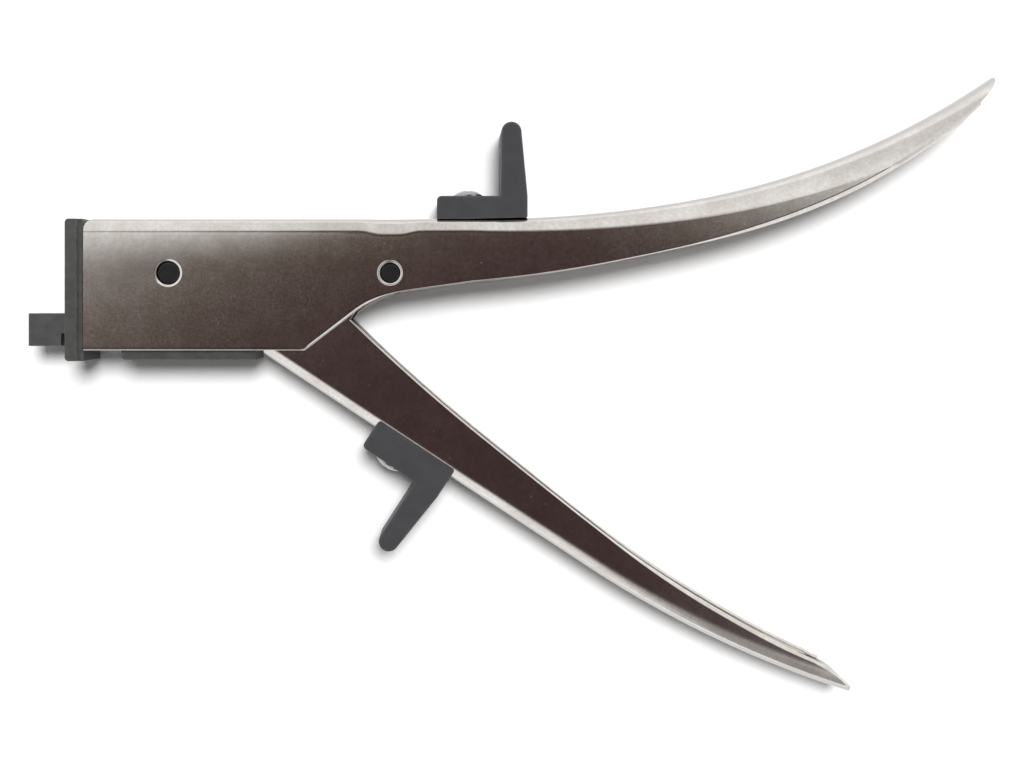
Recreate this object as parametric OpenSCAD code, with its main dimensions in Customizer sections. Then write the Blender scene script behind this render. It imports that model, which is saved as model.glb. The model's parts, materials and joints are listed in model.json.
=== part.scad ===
// Hand nibbler: a squeeze tool that bites small oblongs out of sheet metal.
// It lies on its side on the plane z = 0. The origin is midway between the two cross pins.
// Modules are drawn about the pivot axis, and placed() moves them to the origin.

/* [Body] */
// Width over the two cheeks of the body
frame_w = 12.7; // [12.4:0.1:16]
// Sheet thickness of both pressed channels
sheet_t = 1.3; // [1:0.05:1.4]
// Outside bend radius of the channels at the body
bend_r = 2.5; // [1.8:0.1:3.2]
// Height of the back of the body above the pivot axis
back_h = 10.5; // [9.8:0.1:14]
// Depth of the lower edge of the cheeks below the pivot axis
cheek_drop = 14.9; // [14.7:0.1:16.2]
// Distance from the pivot axis forward to the front edge of the body
front_run = 59.2; // [57:0.1:66]
// Radius of the upper front corner of the body, seen from the side
front_corner_r = 1.8; // [1:0.1:2.4]
// Distance between the guide pin and the pivot pin
pin_gap = 42.7; // [40:0.1:46]
// Distance from the pivot axis forward to where the lower edge turns up
throat_run = 16.4; // [14:0.1:20]
// Slope of the throat behind the body
throat_angle = 37.4; // [30:0.1:45]
// Radius between the throat and the underside of the grip
throat_r = 22; // [10:1:26]

/* [Upper grip] */
// Distance from the pivot axis back to where the grip starts to curve
grip_run = 16; // [15:0.5:24]
// Length of the curved grip along its back
upper_len = 108.2; // [90:0.1:120]
// Depth of the channel where the grip starts
upper_depth = 12.1; // [11:0.1:12.6]
// Depth of the channel at the tip
upper_tip_depth = 2.5; // [2.4:0.1:4]
// Slope of the underside ahead of the grip
under_angle = 8; // [5:0.1:11]
// Length of the first, flatter arc of the back
upper_arc_len = 43; // [30:1:60]
// Radius of the first arc of the back
upper_arc_r = 255; // [200:5:320]
// Radius of the second arc of the back
upper_tip_arc_r = 150; // [110:5:200]

/* [Lower grip] */
// Angle of the lever below the body at rest
lever_angle = 33.4; // [30:0.1:36]
// Distance from the pivot axis square to the back of the lever
pivot_rise = 26.7; // [25.5:0.1:28]
// Distance along the lever from the pivot axis forward to its nose
nose_run = 13.2; // [11:0.1:13.8]
// Distance along the lever from the pivot axis back to its grip
lever_run = 31.8; // [31.6:0.1:38]
// Outside bend radius of the lever
lever_bend_r = 1.7; // [1.7:0.1:2.3]
// Length of the grip along its back
lower_len = 89.2; // [70:0.1:100]
// Straight length at the start of the grip
lower_straight = 32; // [10:0.1:40]
// Radius of the back of the grip
lower_arc_r = 210; // [180:1:320]
// Depth of the channel where the grip starts
lower_depth = 10.1; // [9:0.1:12]
// Depth of the channel at the tip
lower_tip_depth = 3.5; // [2.5:0.1:5]
// How fast the depth falls towards the tip, 1 being a straight taper
lower_taper = 1.3; // [1:0.05:1.6]
// Radius of the lever's upper edge between neck and grip
neck_r = 340; // [250:5:500]
// Outside radius of the lever's ears round the pivot
boss_r = 4; // [3.6:0.1:4.4]
// How far the lever turns when it is squeezed
squeeze = 24; // [16:1:26]

/* [Cutting head] */
// Thickness of the die plate
plate_t = 3.4; // [2.8:0.1:5]
// Length of the step along the rear edges of the die plate
plate_step_len = 1.1; // [0.6:0.1:1.6]
// Depth of that step
plate_step = 0.6; // [0.3:0.1:1]
// Depth of the lower end of the die plate below the pivot axis
plate_drop = 17; // [16.6:0.1:20]
// Width of the punch
punch_w = 6.35; // [5.5:0.05:6.5]
// Height of the punch
punch_h = 6.4; // [5.8:0.1:6.6]
// Depth of the top of the punch below the pivot axis
punch_drop = 7.8; // [7.4:0.1:8]
// Gap between the tail of the punch and the lever's cheeks, each side
tail_gap = 0.225; // [0.15:0.025:0.4]
// Length of the hook at the front of the punch
hook_len = 6.35; // [5:0.05:8]
// Gap for the sheet between the hook and the die plate
sheet_slot = 1.7; // [1.5:0.1:2.4]
// Depth of one bite
bite_depth = 2.5; // [2:0.1:3.2]
// Length of the chip outlet behind the die plate
chip_len = 7.1; // [5:0.1:9]
// Length of the guide block
guide_len = 33.2; // [31:0.1:33.5]
// Height of the top of the guide block above the pivot axis
guide_h = 7; // [6:0.1:7.6]
// Thickness of the rail under the punch
rail_t = 2.5; // [2:0.1:3.2]
// Distance of the die screws from each other
die_screw_gap = 7.6; // [6.4:0.1:8]

/* [Drive] */
// Distance of the drive pin ahead of the pivot axis at rest
drive_run = 13; // [12.8:0.1:13.2]
// Depth of the drive pin below the pivot axis at rest
drive_drop = 10.3; // [10.2:0.1:10.6]
// Diameter of the drive pin
drive_d = 2.5; // [2:0.1:3]
// Room for the drive pin in the slot of the punch, each side
drive_gap = 0.35; // [0.3:0.05:0.5]
// Wall of the punch foot ahead of and behind its slot
foot_wall = 2; // [1.6:0.1:2.4]

/* [Pins] */
// Diameter of the guide pin
guide_pin_d = 4.6; // [4:0.1:5]
// Diameter of the pivot pin
pivot_pin_d = 4; // [3.6:0.1:4.2]
// How deep the ends of the cross pins lie under the cheeks
pin_recess = 0.5; // [0.2:0.1:0.8]
// Chamfer on the ends of the pins
pin_chamfer = 0.4; // [0.2:0.1:0.6]
// Width of the broken edge round the pin holes
hole_break = 0.45; // [0.2:0.05:0.6]
// Wall of the spacer round the pivot pin
spacer_wall = 0.45; // [0.3:0.05:0.5]
// Thickness of the pivot washers
pivot_washer_t = 0.25; // [0.2:0.05:0.3]

/* [Return spring] */
// Diameter of the wire
wire_d = 0.9; // [0.7:0.05:1]
// Radius of the coil at the middle of the wire
coil_r = 3.3; // [3.2:0.05:3.5]
// Full turns of the coil
coil_turns = 3; // [2:1:3]
// Rise of the coil with each turn
coil_pitch = 1.4; // [1.35:0.05:1.45]
// Slope of the leg that bears on the body
spring_leg_angle = 25; // [22:1:30]
// Distance from the pivot axis to the hooked end in the lever
spring_hook_run = 7.8; // [7.2:0.1:8.2]
// Direction of the hooked end from the pivot axis
spring_hook_angle = 207; // [203:1:211]

/* [Hand stops] */
// Length of the base of a hand stop
stop_len = 17.6; // [16:0.1:17.8]
// Thickness of the base of a hand stop
stop_t = 4.5; // [4:0.1:6]
// Height of a hand stop
stop_h = 18.9; // [14:0.1:24]
// Width of a hand stop
stop_w = 9.6; // [9:0.1:10.2]
// Thickness of the leg at the base
leg_t = 5.2; // [4:0.1:6]
// Thickness of the leg at its round end
leg_tip_t = 3.7; // [3:0.1:4]
// Distance from the pivot axis back to the front of the upper stop
upper_stop_run = 9; // [8.6:0.1:9.5]
// Distance along the lever from the pivot axis back to the lower stop
lower_stop_run = 13.9; // [13:0.1:14.2]
// Distance of the stop screw from the front of the stop
stop_screw_inset = 6.1; // [5.6:0.1:6.6]

/* [Fasteners] */
// Diameter of the stop screws
screw_d = 3; // [2.6:0.1:3.4]
// Diameter of the heads of the stop screws
head_d = 5.7; // [5:0.1:6.2]
// Height of the domed heads of the stop screws
head_h = 1.4; // [1.2:0.1:1.8]
// Height of the straight rim of those heads
head_rim = 0.4; // [0.3:0.1:0.6]
// Width across the flats of the nuts
nut_af = 5.5; // [5:0.1:5.8]
// Thickness of the nuts
nut_t = 2.4; // [2:0.1:2.8]
// Diameter of the nut washers
washer_d = 5.4; // [5:0.1:6]
// Thickness of the nut washers
washer_t = 0.5; // [0.4:0.1:0.8]
// Length of screw that shows past the nuts
screw_end = 0.8; // [0.4:0.1:1.2]
// Diameter of the die screws
die_screw_d = 2.5; // [2:0.1:3]
// Diameter of the heads of the die screws
die_head_d = 4.8; // [4:0.1:5.2]
// Length of the die screws
die_screw_len = 11; // [8:0.5:12]

/* [Fits] */
// Radial clearance of what turns on a pin
run_fit = 0.05; // [0.03:0.01:0.08]
// Radial clearance of pressed pins and threads
press_fit = 0.02; // [0.01:0.01:0.04]
// Clearance of the sliding punch, each side
slide_fit = 0.06; // [0.04:0.01:0.1]
// Clearance of seated flat faces
seat_fit = 0.05; // [0.02:0.01:0.1]
// Radial clearance of screw holes
hole_fit = 0.1; // [0.05:0.01:0.2]

/* [Hidden] */
$fn = 64;

// Facets of each bend, rings along each grip, and steps of a rounded outline
bend_steps = 6;
grip_steps = 26;
arc_steps = 12;
// Sides of the spring wire and rings in one turn of it
wire_sides = 6;
turn_rings = 12;
// Smallest inside bend, and flat left between a bend and the free edge
least_bend = 0.3;
edge_flat = 0.4;
// Overshoot of cuts past the face that they open
cut = 1;
// Rounding of small outside corners
corner_r = 0.7;
// Slot of the screw heads: width and depth
driver_w = 0.8;
driver_depth = 0.7;
// Share of a grip over which its bends open to a half round
bend_open = 0.71;
// Corner behind the lever's ears: offset and depth below them, and where its upper edge begins
neck_corner_x = -0.7;
neck_corner_drop = 2.1;
neck_x = -1.6;
// Gap between the lever's nose and the punch, and overlap of the joined bars of the punch
nose_gap = 0.3;
bar_lap = 0.3;
// Room round the hooked end of the spring, gap at its other leg, and steps of the hook's bend
hook_room = 0.6;
leg_gap = 0.2;
hook_steps = 3;
// Share of the leg's taper that falls on its front face
leg_lean = 0.33;

mid_z = frame_w / 2;
side_gap = pivot_washer_t + 2 * seat_fit;
lever_w = frame_w - 2 * (sheet_t + side_gap);
lever_z = (frame_w - lever_w) / 2;
lever_bay_z = lever_z + sheet_t;
lever_bay_w = lever_w - 2 * sheet_t;
frame_bay_w = frame_w - 2 * sheet_t;
tail_w = lever_bay_w - 2 * tail_gap;
frame_inner_r = max(bend_r - sheet_t, least_bend);
lever_inner_r = max(lever_bend_r - sheet_t, least_bend);
web_under = back_h - sheet_t;
guide_pin_r = guide_pin_d / 2;
pivot_pin_r = pivot_pin_d / 2;
drive_r = drive_d / 2;
plate_x = -front_run - plate_t;
guide_rear_x = guide_len - front_run;
punch_low = punch_drop + punch_h;
hook_x = plate_x - sheet_slot;

// Length of the upper stop that lies over the curved grip, and the rise of its heel that clears it
upper_overlap = max(0, upper_stop_run + stop_len - grip_run);
upper_heel = seat_fit + upper_overlap * upper_overlap / (2 * upper_arc_r);

// Height over the web at which a nut washer rests on the bends of a channel, by its inside width and bend
function washer_lift(bay_w, r) =
    let (over = max(0, washer_d / 2 + seat_fit - bay_w / 2 + r))
    r - sqrt(r * r - over * over);

upper_lift = washer_lift(frame_bay_w, frame_inner_r);
lower_lift = washer_lift(lever_bay_w, lever_inner_r);

// Drive pin about the pivot, and the height it falls to when the lever is squeezed
drive_arm = norm([drive_run, drive_drop]);
drive_lead = atan2(drive_run, drive_drop);
drive_low = drive_arm * cos(drive_lead - squeeze);
slot_r = drive_r + drive_gap;
foot_drop = drive_low + slot_r + foot_wall;

// Point [x, y] at a distance and an angle from a centre
function polar(c, r, a) = [c[0] + r * cos(a), c[1] + r * sin(a)];

// Points of an arc from one angle to another
function arc(c, r, a0, a1, steps) = [for (i = [0:steps]) polar(c, r, a0 + (a1 - a0) * i / steps)];

// Crossing of two lines, each through a point at a slope in degrees
function crossing(p, a, q, b) =
    let (x = (q[1] - tan(b) * q[0] - p[1] + tan(a) * p[0]) / (tan(a) - tan(b)))
    [x, p[1] + tan(a) * (x - p[0])];

// Place and heading [x, y, angle] after a run along an arc that turns to the left
function arc_run(from, run, r) =
    let (a = from[2] + run / r * 180 / PI)
    [from[0] + r * (sin(a) - sin(from[2])), from[1] - r * (cos(a) - cos(from[2])), a];

function straight_run(from, run) =
    [from[0] + run * cos(from[2]), from[1] + run * sin(from[2]), from[2]];

// Back of the upper grip, from where it starts to curve
upper_start = [grip_run, back_h, 0];
upper_path = function (s)
    s <= upper_arc_len ? arc_run(upper_start, s, upper_arc_r)
    : arc_run(arc_run(upper_start, upper_arc_len, upper_arc_r), s - upper_arc_len, upper_tip_arc_r);
upper_depth_at = function (s) upper_depth + (upper_tip_depth - upper_depth) * s / upper_len;

// Back of the lower grip, in the lever's own frame about the pivot
lower_start = [lever_run, -pivot_rise, 0];
lower_path = function (s)
    s <= lower_straight ? straight_run(lower_start, s)
    : arc_run(straight_run(lower_start, lower_straight), s - lower_straight, lower_arc_r);
lower_depth_at = function (s)
    lower_tip_depth + (lower_depth - lower_tip_depth) * pow(max(0, 1 - s / lower_len), lower_taper);

// Outer and inner halves of a channel section: pairs of [depth, z], from free edge to free edge.
// A bend that is deeper than the channel ends short of its quarter turn.
function section_half(depth, w, r, inset) =
    let (turn = inset + r)
    let (first = acos(min(0, (depth - edge_flat - turn) / r)))
    let (rim = turn - r * sin(first))
    concat(
        [[depth, w - rim]],
        arc([turn, w - turn], r, first, 180, bend_steps),
        arc([turn, turn], r, 180, 360 - first, bend_steps),
        [[depth, rim]]);

function reversed(list) = [for (i = [len(list) - 1:-1:0]) list[i]];

function section(depth, w, r) = concat(
    section_half(depth, w, r, 0),
    reversed(section_half(depth, w, max(r - sheet_t, least_bend), sheet_t)));

// Bend radius that opens from a first one to a half round
function grip_bend(share, w, r) = r + (w / 2 - seat_fit - r) * share;

// One ring of a grip: the section square to the back, drawn in at the tip to a round end
function grip_ring(s, run, path, depth_at, w, r, side) =
    let (depth = depth_at(s))
    let (ring = section(depth, w, grip_bend(min(s / (bend_open * run), 1), w, r)))
    let (half = len(ring) / 2)
    let (ramp = max(0, 1 - (run - s) / w))
    [for (k = [0:len(ring) - 1])
        let (outer = ring[k < half ? k : len(ring) - 1 - k])
        let (off = min(1, abs(outer[1] - w / 2) / (w / 2)))
        let (p = path(s - ramp * w / 2 * (1 - sqrt(1 - off * off))))
        [p[0] - side * ring[k][0] * sin(p[2]), p[1] + side * ring[k][0] * cos(p[2]), ring[k][1]]];

function split(a, b, c, d) = [[a, b, c], [a, c, d]];

// Curved channel; side is 1 where the channel opens to the left of its run, and -1 to the right
module grip(run, path, depth_at, w, r, side) {
    rings = [for (i = [0:grip_steps]) grip_ring(run * i / grip_steps, run, path, depth_at, w, r, side)];
    m = len(rings[0]);
    last = grip_steps * m;
    walls = [for (i = [0:grip_steps - 1], k = [0:m - 1])
        each split(i * m + k, i * m + (k + 1) % m, (i + 1) * m + (k + 1) % m, (i + 1) * m + k)];
    front = [for (k = [0:m / 2 - 2]) each split(k + 1, k, m - 1 - k, m - 2 - k)];
    tip = [for (k = [0:m / 2 - 2]) each split(last + k, last + k + 1, last + m - 2 - k, last + m - 1 - k)];
    faces = concat(walls, front, tip);
    polyhedron([for (r = rings) each r], side > 0 ? [for (f = faces) reversed(f)] : faces);
}

// Straight channel along x from x0 to x1, its back at y, opening downwards (-1) or upwards (1)
module channel(x0, x1, y, depth, w, r, side) {
    translate([x0, y, 0])
        rotate([90, 0, 90])
            linear_extrude(x1 - x0)
                polygon([for (p = section(depth, w, r)) [side * p[0], p[1]]]);
}

// Hole through both cheeks of the body, with broken outer edges
module pin_hole(x, r) {
    translate([x, 0, -cut]) cylinder(r = r, h = frame_w + 2 * cut);
    for (z = [0, frame_w])
        translate([x, 0, z])
            mirror([0, 0, z > 0 ? 0 : 1])
                translate([0, 0, -hole_break])
                    cylinder(r1 = r, r2 = r + 2 * hole_break, h = 2 * hole_break);
}

// Side outline of the body, up to the start of the grip
module body_outline() {
    foot = [-throat_run, -cheek_drop];
    under = [grip_run, back_h - upper_depth];
    corner = crossing(foot, throat_angle, under, under_angle);
    middle = (throat_angle + under_angle) / 2;
    turn = (throat_angle - under_angle) / 2;
    centre = polar(corner, throat_r / cos(turn), middle - 90);
    polygon(concat(
        [[-front_run, -cheek_drop], foot],
        arc(centre, throat_r, throat_angle + 90, under_angle + 90, arc_steps),
        [under, [grip_run, back_h]],
        arc([front_corner_r - front_run, back_h - front_corner_r], front_corner_r, 90, 180, bend_steps)));
}

module upper_handle() {
    color("silver")
        difference() {
            union() {
                intersection() {
                    linear_extrude(frame_w) body_outline();
                    channel(-front_run, grip_run, back_h, back_h + cheek_drop + cut, frame_w, bend_r, -1);
                }
                grip(upper_len, upper_path, upper_depth_at, frame_w, bend_r, -1);
            }
            pin_hole(-pin_gap, guide_pin_r + press_fit);
            pin_hole(0, pivot_pin_r + press_fit);
            upper_stop_place() stop_screw_hole();
        }
}

// Side outline of the lever in its own frame: ears, neck and the channel up to the grip
module lever_outline() {
    nose = [-nose_run, -pivot_rise];
    edge_end = [lever_run, lower_depth - pivot_rise];
    edge_angle = atan((lower_depth - lower_tip_depth) * lower_taper / lower_len);
    edge_centre = [edge_end[0] + neck_r * sin(edge_angle), edge_end[1] + neck_r * cos(edge_angle)];
    edge_turn = asin((edge_centre[0] - neck_x) / neck_r);
    neck_corner = [neck_corner_x, -boss_r - neck_corner_drop];
    rear_angle = atan2(neck_corner[1], neck_corner[0]) + acos(boss_r / norm(neck_corner));
    front_angle = atan2(nose[1], nose[0]) + 360 - acos(boss_r / norm(nose));
    polygon(concat(
        [nose, [lever_run, -pivot_rise]],
        arc(edge_centre, neck_r, 270 - edge_angle, 270 - edge_turn, arc_steps),
        [neck_corner],
        arc([0, 0], boss_r, rear_angle, front_angle, arc_steps)));
}

// The lever's own frame, turned to its place at rest
module lever_place() {
    rotate([0, 0, -lever_angle]) children();
}

module lower_handle() {
    color("silver")
        difference() {
            lever_place()
                translate([0, 0, lever_z])
                    union() {
                        intersection() {
                            linear_extrude(lever_w) lever_outline();
                            channel(-nose_run, lever_run, -pivot_rise, pivot_rise + boss_r + cut,
                                lever_w, lever_bend_r, 1);
                        }
                        grip(lower_len, lower_path, lower_depth_at, lever_w, lever_bend_r, 1);
                    }
            cylinder(r = pivot_pin_r + run_fit, h = frame_w);
            translate([-drive_run, -drive_drop, 0]) cylinder(r = drive_r + press_fit, h = frame_w);
            translate(concat(polar([0, 0], spring_hook_run, spring_hook_angle), mid_z))
                cylinder(d = wire_d + hook_room, h = frame_w);
            translate([guide_rear_x - cut, -punch_low - nose_gap, lever_bay_z])
                cube([-guide_rear_x, punch_h, lever_bay_w]);
            lower_stop_place() stop_screw_hole();
        }
}

// Two countersunk places, one above the other, on the front of the die plate
module die_screw_places() {
    for (side = [-1, 1])
        translate([plate_x, side * die_screw_gap / 2, mid_z])
            rotate([0, 90, 0])
                children();
}

// Outline of a countersunk screw, head first along z, grown by a clearance
module countersunk(head, shank, run, grow) {
    rotate_extrude()
        polygon([[0, 0], [head / 2 + grow, 0], [shank / 2 + grow, (head - shank) / 2],
            [shank / 2 + grow, run], [0, run]]);
}

// Opening for the punch through whatever guides it
module punch_way(x0, x1) {
    translate([x0, -punch_low - slide_fit, mid_z - punch_w / 2 - slide_fit])
        cube([x1 - x0, punch_h + 2 * slide_fit, punch_w + 2 * slide_fit]);
}

module die_plate() {
    top = back_h - seat_fit;
    color([0.2, 0.2, 0.21])
        difference() {
            translate([0, 0, seat_fit])
                linear_extrude(frame_w - 2 * seat_fit)
                    polygon(concat(
                        [[-front_run, -plate_drop], [-front_run, top]],
                        arc([plate_x + corner_r, top - corner_r], corner_r, 90, 180, bend_steps),
                        arc([plate_x + corner_r, corner_r - plate_drop], corner_r, 180, 270, bend_steps)));
            for (z = [-cut, frame_w - plate_step])
                translate([-front_run - plate_step_len, -plate_drop - cut, z])
                    cube([plate_step_len + cut, plate_drop + back_h + 2 * cut, plate_step + cut]);
            punch_way(plate_x - cut, -front_run + cut);
            die_screw_places() countersunk(die_head_d, die_screw_d, plate_t + cut, hole_fit);
        }
}

module guide_block() {
    side = sheet_t + seat_fit;
    front = -front_run + seat_fit;
    rail_front = -front_run + chip_len;
    low = -punch_low - slide_fit - rail_t;
    color([0.24, 0.23, 0.23])
        difference() {
            translate([0, 0, side])
                linear_extrude(frame_w - 2 * side)
                    polygon(concat(
                        [[front, guide_h], [front, -punch_low], [rail_front, -punch_low]],
                        arc([rail_front + corner_r, low + corner_r], corner_r, 180, 270, bend_steps),
                        [[guide_rear_x, low], [guide_rear_x, guide_h]]));
            punch_way(front - cut, guide_rear_x + cut);
            translate([-pin_gap, 0, 0]) cylinder(r = guide_pin_r + run_fit, h = frame_w);
            die_screw_places() cylinder(d = die_screw_d + 2 * press_fit, h = die_screw_len + cut);
        }
}

module die_screws() {
    color("dimgray")
        die_screw_places()
            difference() {
                countersunk(die_head_d, die_screw_d, die_screw_len, 0);
                translate([-die_head_d, -driver_w / 2, -cut])
                    cube([2 * die_head_d, driver_w, cut + driver_depth]);
            }
}

// Round pin along z with chamfered ends
module pin(r, z0, z1) {
    translate([0, 0, z0])
        rotate_extrude()
            polygon([[0, 0], [r - pin_chamfer, 0], [r, pin_chamfer], [r, z1 - z0 - pin_chamfer],
                [r - pin_chamfer, z1 - z0], [0, z1 - z0]]);
}

// Ring along z
module ring(outer, inner, z0, z1) {
    translate([0, 0, z0])
        difference() {
            cylinder(r = outer, h = z1 - z0);
            translate([0, 0, -cut]) cylinder(r = inner, h = z1 - z0 + 2 * cut);
        }
}

module guide_pin() {
    color("dimgray") translate([-pin_gap, 0, 0]) pin(guide_pin_r, pin_recess, frame_w - pin_recess);
}

module pivot_pin() {
    color("gray") pin(pivot_pin_r, pin_recess, frame_w - pin_recess);
}

module drive_pin() {
    color("gray")
        translate([-drive_run, -drive_drop, 0])
            pin(drive_r, lever_z + seat_fit, frame_w - lever_z - seat_fit);
}

module pivot_spacer() {
    bore = pivot_pin_r + run_fit;
    color("darkgray")
        ring(bore + spacer_wall, bore, lever_bay_z + seat_fit, lever_bay_z + lever_bay_w - seat_fit);
}

module pivot_washers() {
    color("darkgray")
        for (z = [sheet_t + seat_fit, frame_w - sheet_t - seat_fit - pivot_washer_t])
            ring(boss_r - seat_fit, pivot_pin_r + run_fit, z, z + pivot_washer_t);
}

// Bar between two corners in x and y, its width centred on the middle plane
module bar(low, high, w) {
    translate([low[0], low[1], mid_z - w / 2]) cube([high[0] - low[0], high[1] - low[1], w]);
}

// Square bar through the guide block, with a tail between the lever's cheeks and a slotted foot
module punch() {
    foot_half = slot_r + foot_wall;
    foot_front = -drive_run - foot_half;
    foot_rear = -drive_run + foot_half;
    tail_x = guide_rear_x + seat_fit;
    notch_end = -front_run + chip_len + cut;
    color([0.3, 0.3, 0.31])
        difference() {
            union() {
                bar([hook_x - hook_len, -punch_low], [tail_x + bar_lap, -punch_drop], punch_w);
                bar([tail_x, -punch_low], [foot_rear, -punch_drop], tail_w);
                bar([foot_front, -foot_drop], [foot_rear, -punch_drop], tail_w);
            }
            bar([hook_x, -punch_low - cut], [notch_end, bite_depth - punch_low], punch_w + 2 * cut);
            for (y = [drive_drop, drive_low])
                translate([-drive_run, -y, 0]) cylinder(r = slot_r, h = frame_w);
            bar([-drive_run - slot_r, -drive_low], [-drive_run + slot_r, -drive_drop], frame_w);
        }
}

// Rows of the spring's path: [x, y, z, heading, climb]
spring_start = 90 + spring_leg_angle;
spring_reach = sqrt(spring_hook_run * spring_hook_run - coil_r * coil_r);
spring_end = spring_hook_angle - atan2(spring_reach, coil_r) + 360 * coil_turns;
coil_rise = coil_pitch * (spring_end - spring_start) / 360;
coil_z = mid_z - coil_rise / 2;
coil_top = coil_z + coil_rise;
climb = atan(coil_pitch / (2 * PI * coil_r));
coil_rings = round((spring_end - spring_start) / 360 * turn_rings);
leg_rise = web_under - wire_d / 2 - leg_gap - coil_r * cos(spring_leg_angle);
body_leg = leg_rise / sin(spring_leg_angle);
hook_top = frame_w - lever_z - seat_fit;

function spring_row(p, z, heading, slope) = [p[0], p[1], z, heading, slope];

spring_path = concat(
    [spring_row(polar(polar([0, 0], coil_r, spring_start), body_leg, spring_start - 90),
        coil_z, spring_start + 90, 0)],
    [for (i = [0:coil_rings])
        let (a = spring_start + (spring_end - spring_start) * i / coil_rings)
        spring_row(polar([0, 0], coil_r, a), coil_z + coil_rise * i / coil_rings, a + 90, climb)],
    [for (i = [0:hook_steps])
        let (a = 90 * i / hook_steps)
        let (run = spring_reach - wire_d * (1 - sin(a)))
        let (p = polar(polar([0, 0], coil_r, spring_end), run, spring_end + 90))
        spring_row(p, coil_top + wire_d * (1 - cos(a)), spring_end + 90, a)],
    [spring_row(polar([0, 0], spring_hook_run, spring_hook_angle), hook_top, spring_end + 90, 90)]);

function wire_ring(row) =
    let (h = row[3], c = row[4])
    [for (k = [0:wire_sides - 1])
        let (u = wire_d / 2 * cos(360 * k / wire_sides), v = wire_d / 2 * sin(360 * k / wire_sides))
        [row[0] + u * sin(h) - v * cos(h) * sin(c),
            row[1] - u * cos(h) - v * sin(h) * sin(c),
            row[2] + v * cos(c)]];

// Least gap between places on the wire that are half a turn or more apart
spring_gap = min([for (i = [0:len(spring_path) - 1], j = [i + turn_rings / 2:1:len(spring_path) - 1])
    norm([for (k = [0:2]) spring_path[i][k] - spring_path[j][k]])]) - wire_d;
echo(spring_least_gap = spring_gap);

module return_spring() {
    rows = len(spring_path);
    n = wire_sides;
    walls = [for (i = [0:rows - 2], k = [0:n - 1])
        each split(i * n + k, (i + 1) * n + k, (i + 1) * n + (k + 1) % n, i * n + (k + 1) % n)];
    ends = concat(
        [for (k = [1:n - 2]) [0, k, k + 1]],
        [for (k = [1:n - 2]) [(rows - 1) * n, (rows - 1) * n + k + 1, (rows - 1) * n + k]]);
    color("lightsteelblue")
        polyhedron([for (row = spring_path) each wire_ring(row)], concat(walls, ends));
}

// Seats of the two stops: the base lies along x, y points away from the handle
module upper_stop_place() {
    translate([upper_stop_run, back_h, mid_z]) children();
}

module lower_stop_place() {
    lever_place()
        translate([lower_stop_run, -pivot_rise, mid_z])
            mirror([0, 1, 0])
                children();
}

// What lies on the axis of a stop screw, at a height above the handle, pointing down into it
module on_stop_axis(y) {
    translate([stop_screw_inset, y, 0]) rotate([90, 0, 0]) children();
}

module stop_screw_hole() {
    on_stop_axis(stop_t + cut) cylinder(d = screw_d + 2 * hole_fit, h = stop_t + sheet_t + 2 * cut);
}

// Angled stop; its heel is the height of the base's rear end above the seat
module hand_stop(heel) {
    tip_r = leg_tip_t / 2;
    tip = [stop_len - leg_t + leg_lean * (leg_t - leg_tip_t) + tip_r, stop_h - tip_r];
    color([0.13, 0.13, 0.14])
        difference() {
            translate([0, 0, -stop_w / 2])
                linear_extrude(stop_w)
                    polygon(concat(
                        [[0, 0], [stop_screw_inset, 0], [stop_len, heel], [stop_len, stop_t]],
                        arc(tip, tip_r, 0, 180, arc_steps),
                        [[stop_len - leg_t, stop_t]],
                        arc([corner_r, stop_t - corner_r], corner_r, 90, 180, bend_steps)));
            stop_screw_hole();
        }
}

// Pan-head screw on the stop; lift is the height of its washer over the web
module stop_screw(lift) {
    run = stop_t + sheet_t + lift + washer_t + nut_t + screw_end;
    dome = head_h - head_rim;
    dome_r = (head_d * head_d / 4 + dome * dome) / (2 * dome);
    half = asin(head_d / 2 / dome_r);
    color("silver")
        on_stop_axis(stop_t)
            difference() {
                rotate_extrude()
                    polygon(concat(
                        arc([0, dome_r - head_h], dome_r, 270, 270 + half, bend_steps),
                        [[head_d / 2, 0], [screw_d / 2, 0], [screw_d / 2, run], [0, run]]));
                for (turn = [0, 90])
                    rotate([0, 0, turn])
                        translate([-head_d / 4, -driver_w / 2, -head_h - cut])
                            cube([head_d / 2, driver_w, cut + driver_depth]);
            }
}

module stop_washer(lift) {
    color("darkgray")
        on_stop_axis(-sheet_t - lift)
            ring(washer_d / 2, screw_d / 2 + hole_fit, 0, washer_t);
}

module stop_nut(lift) {
    color("darkgray")
        on_stop_axis(-sheet_t - lift - washer_t)
            difference() {
                cylinder(d = nut_af / cos(30), h = nut_t, $fn = 6);
                translate([0, 0, -cut]) cylinder(d = screw_d + 2 * press_fit, h = nut_t + 2 * cut);
            }
}

// From the pivot axis to the origin between the two cross pins
module placed() {
    translate([pin_gap / 2, 0, 0]) children();
}

placed() upper_handle();
placed() lower_handle();
placed() die_plate();
placed() guide_block();
placed() die_screws();
placed() guide_pin();
placed() punch();
placed() drive_pin();
placed() pivot_pin();
placed() pivot_spacer();
placed() pivot_washers();
placed() return_spring();
placed() upper_stop_place() hand_stop(upper_heel);  // upper_stop
placed() upper_stop_place() stop_screw(upper_lift);  // upper_stop_screw
placed() upper_stop_place() stop_washer(upper_lift);  // upper_stop_washer
placed() upper_stop_place() stop_nut(upper_lift);  // upper_stop_nut
placed() lower_stop_place() hand_stop(0);  // lower_stop
placed() lower_stop_place() stop_screw(lower_lift);  // lower_stop_screw
placed() lower_stop_place() stop_washer(lower_lift);  // lower_stop_washer
placed() lower_stop_place() stop_nut(lower_lift);  // lower_stop_nut
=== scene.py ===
"""Looks of a hand nibbler: nickel-plated channel handles, a blackened head and moulded hand stops.

Sizes are millimetres about the pivot axis, as the construction has them. Finished meshes are metres
in the part's own frame, where the tool lies on its side on the plane z = 0.
"""

from __future__ import annotations

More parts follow.
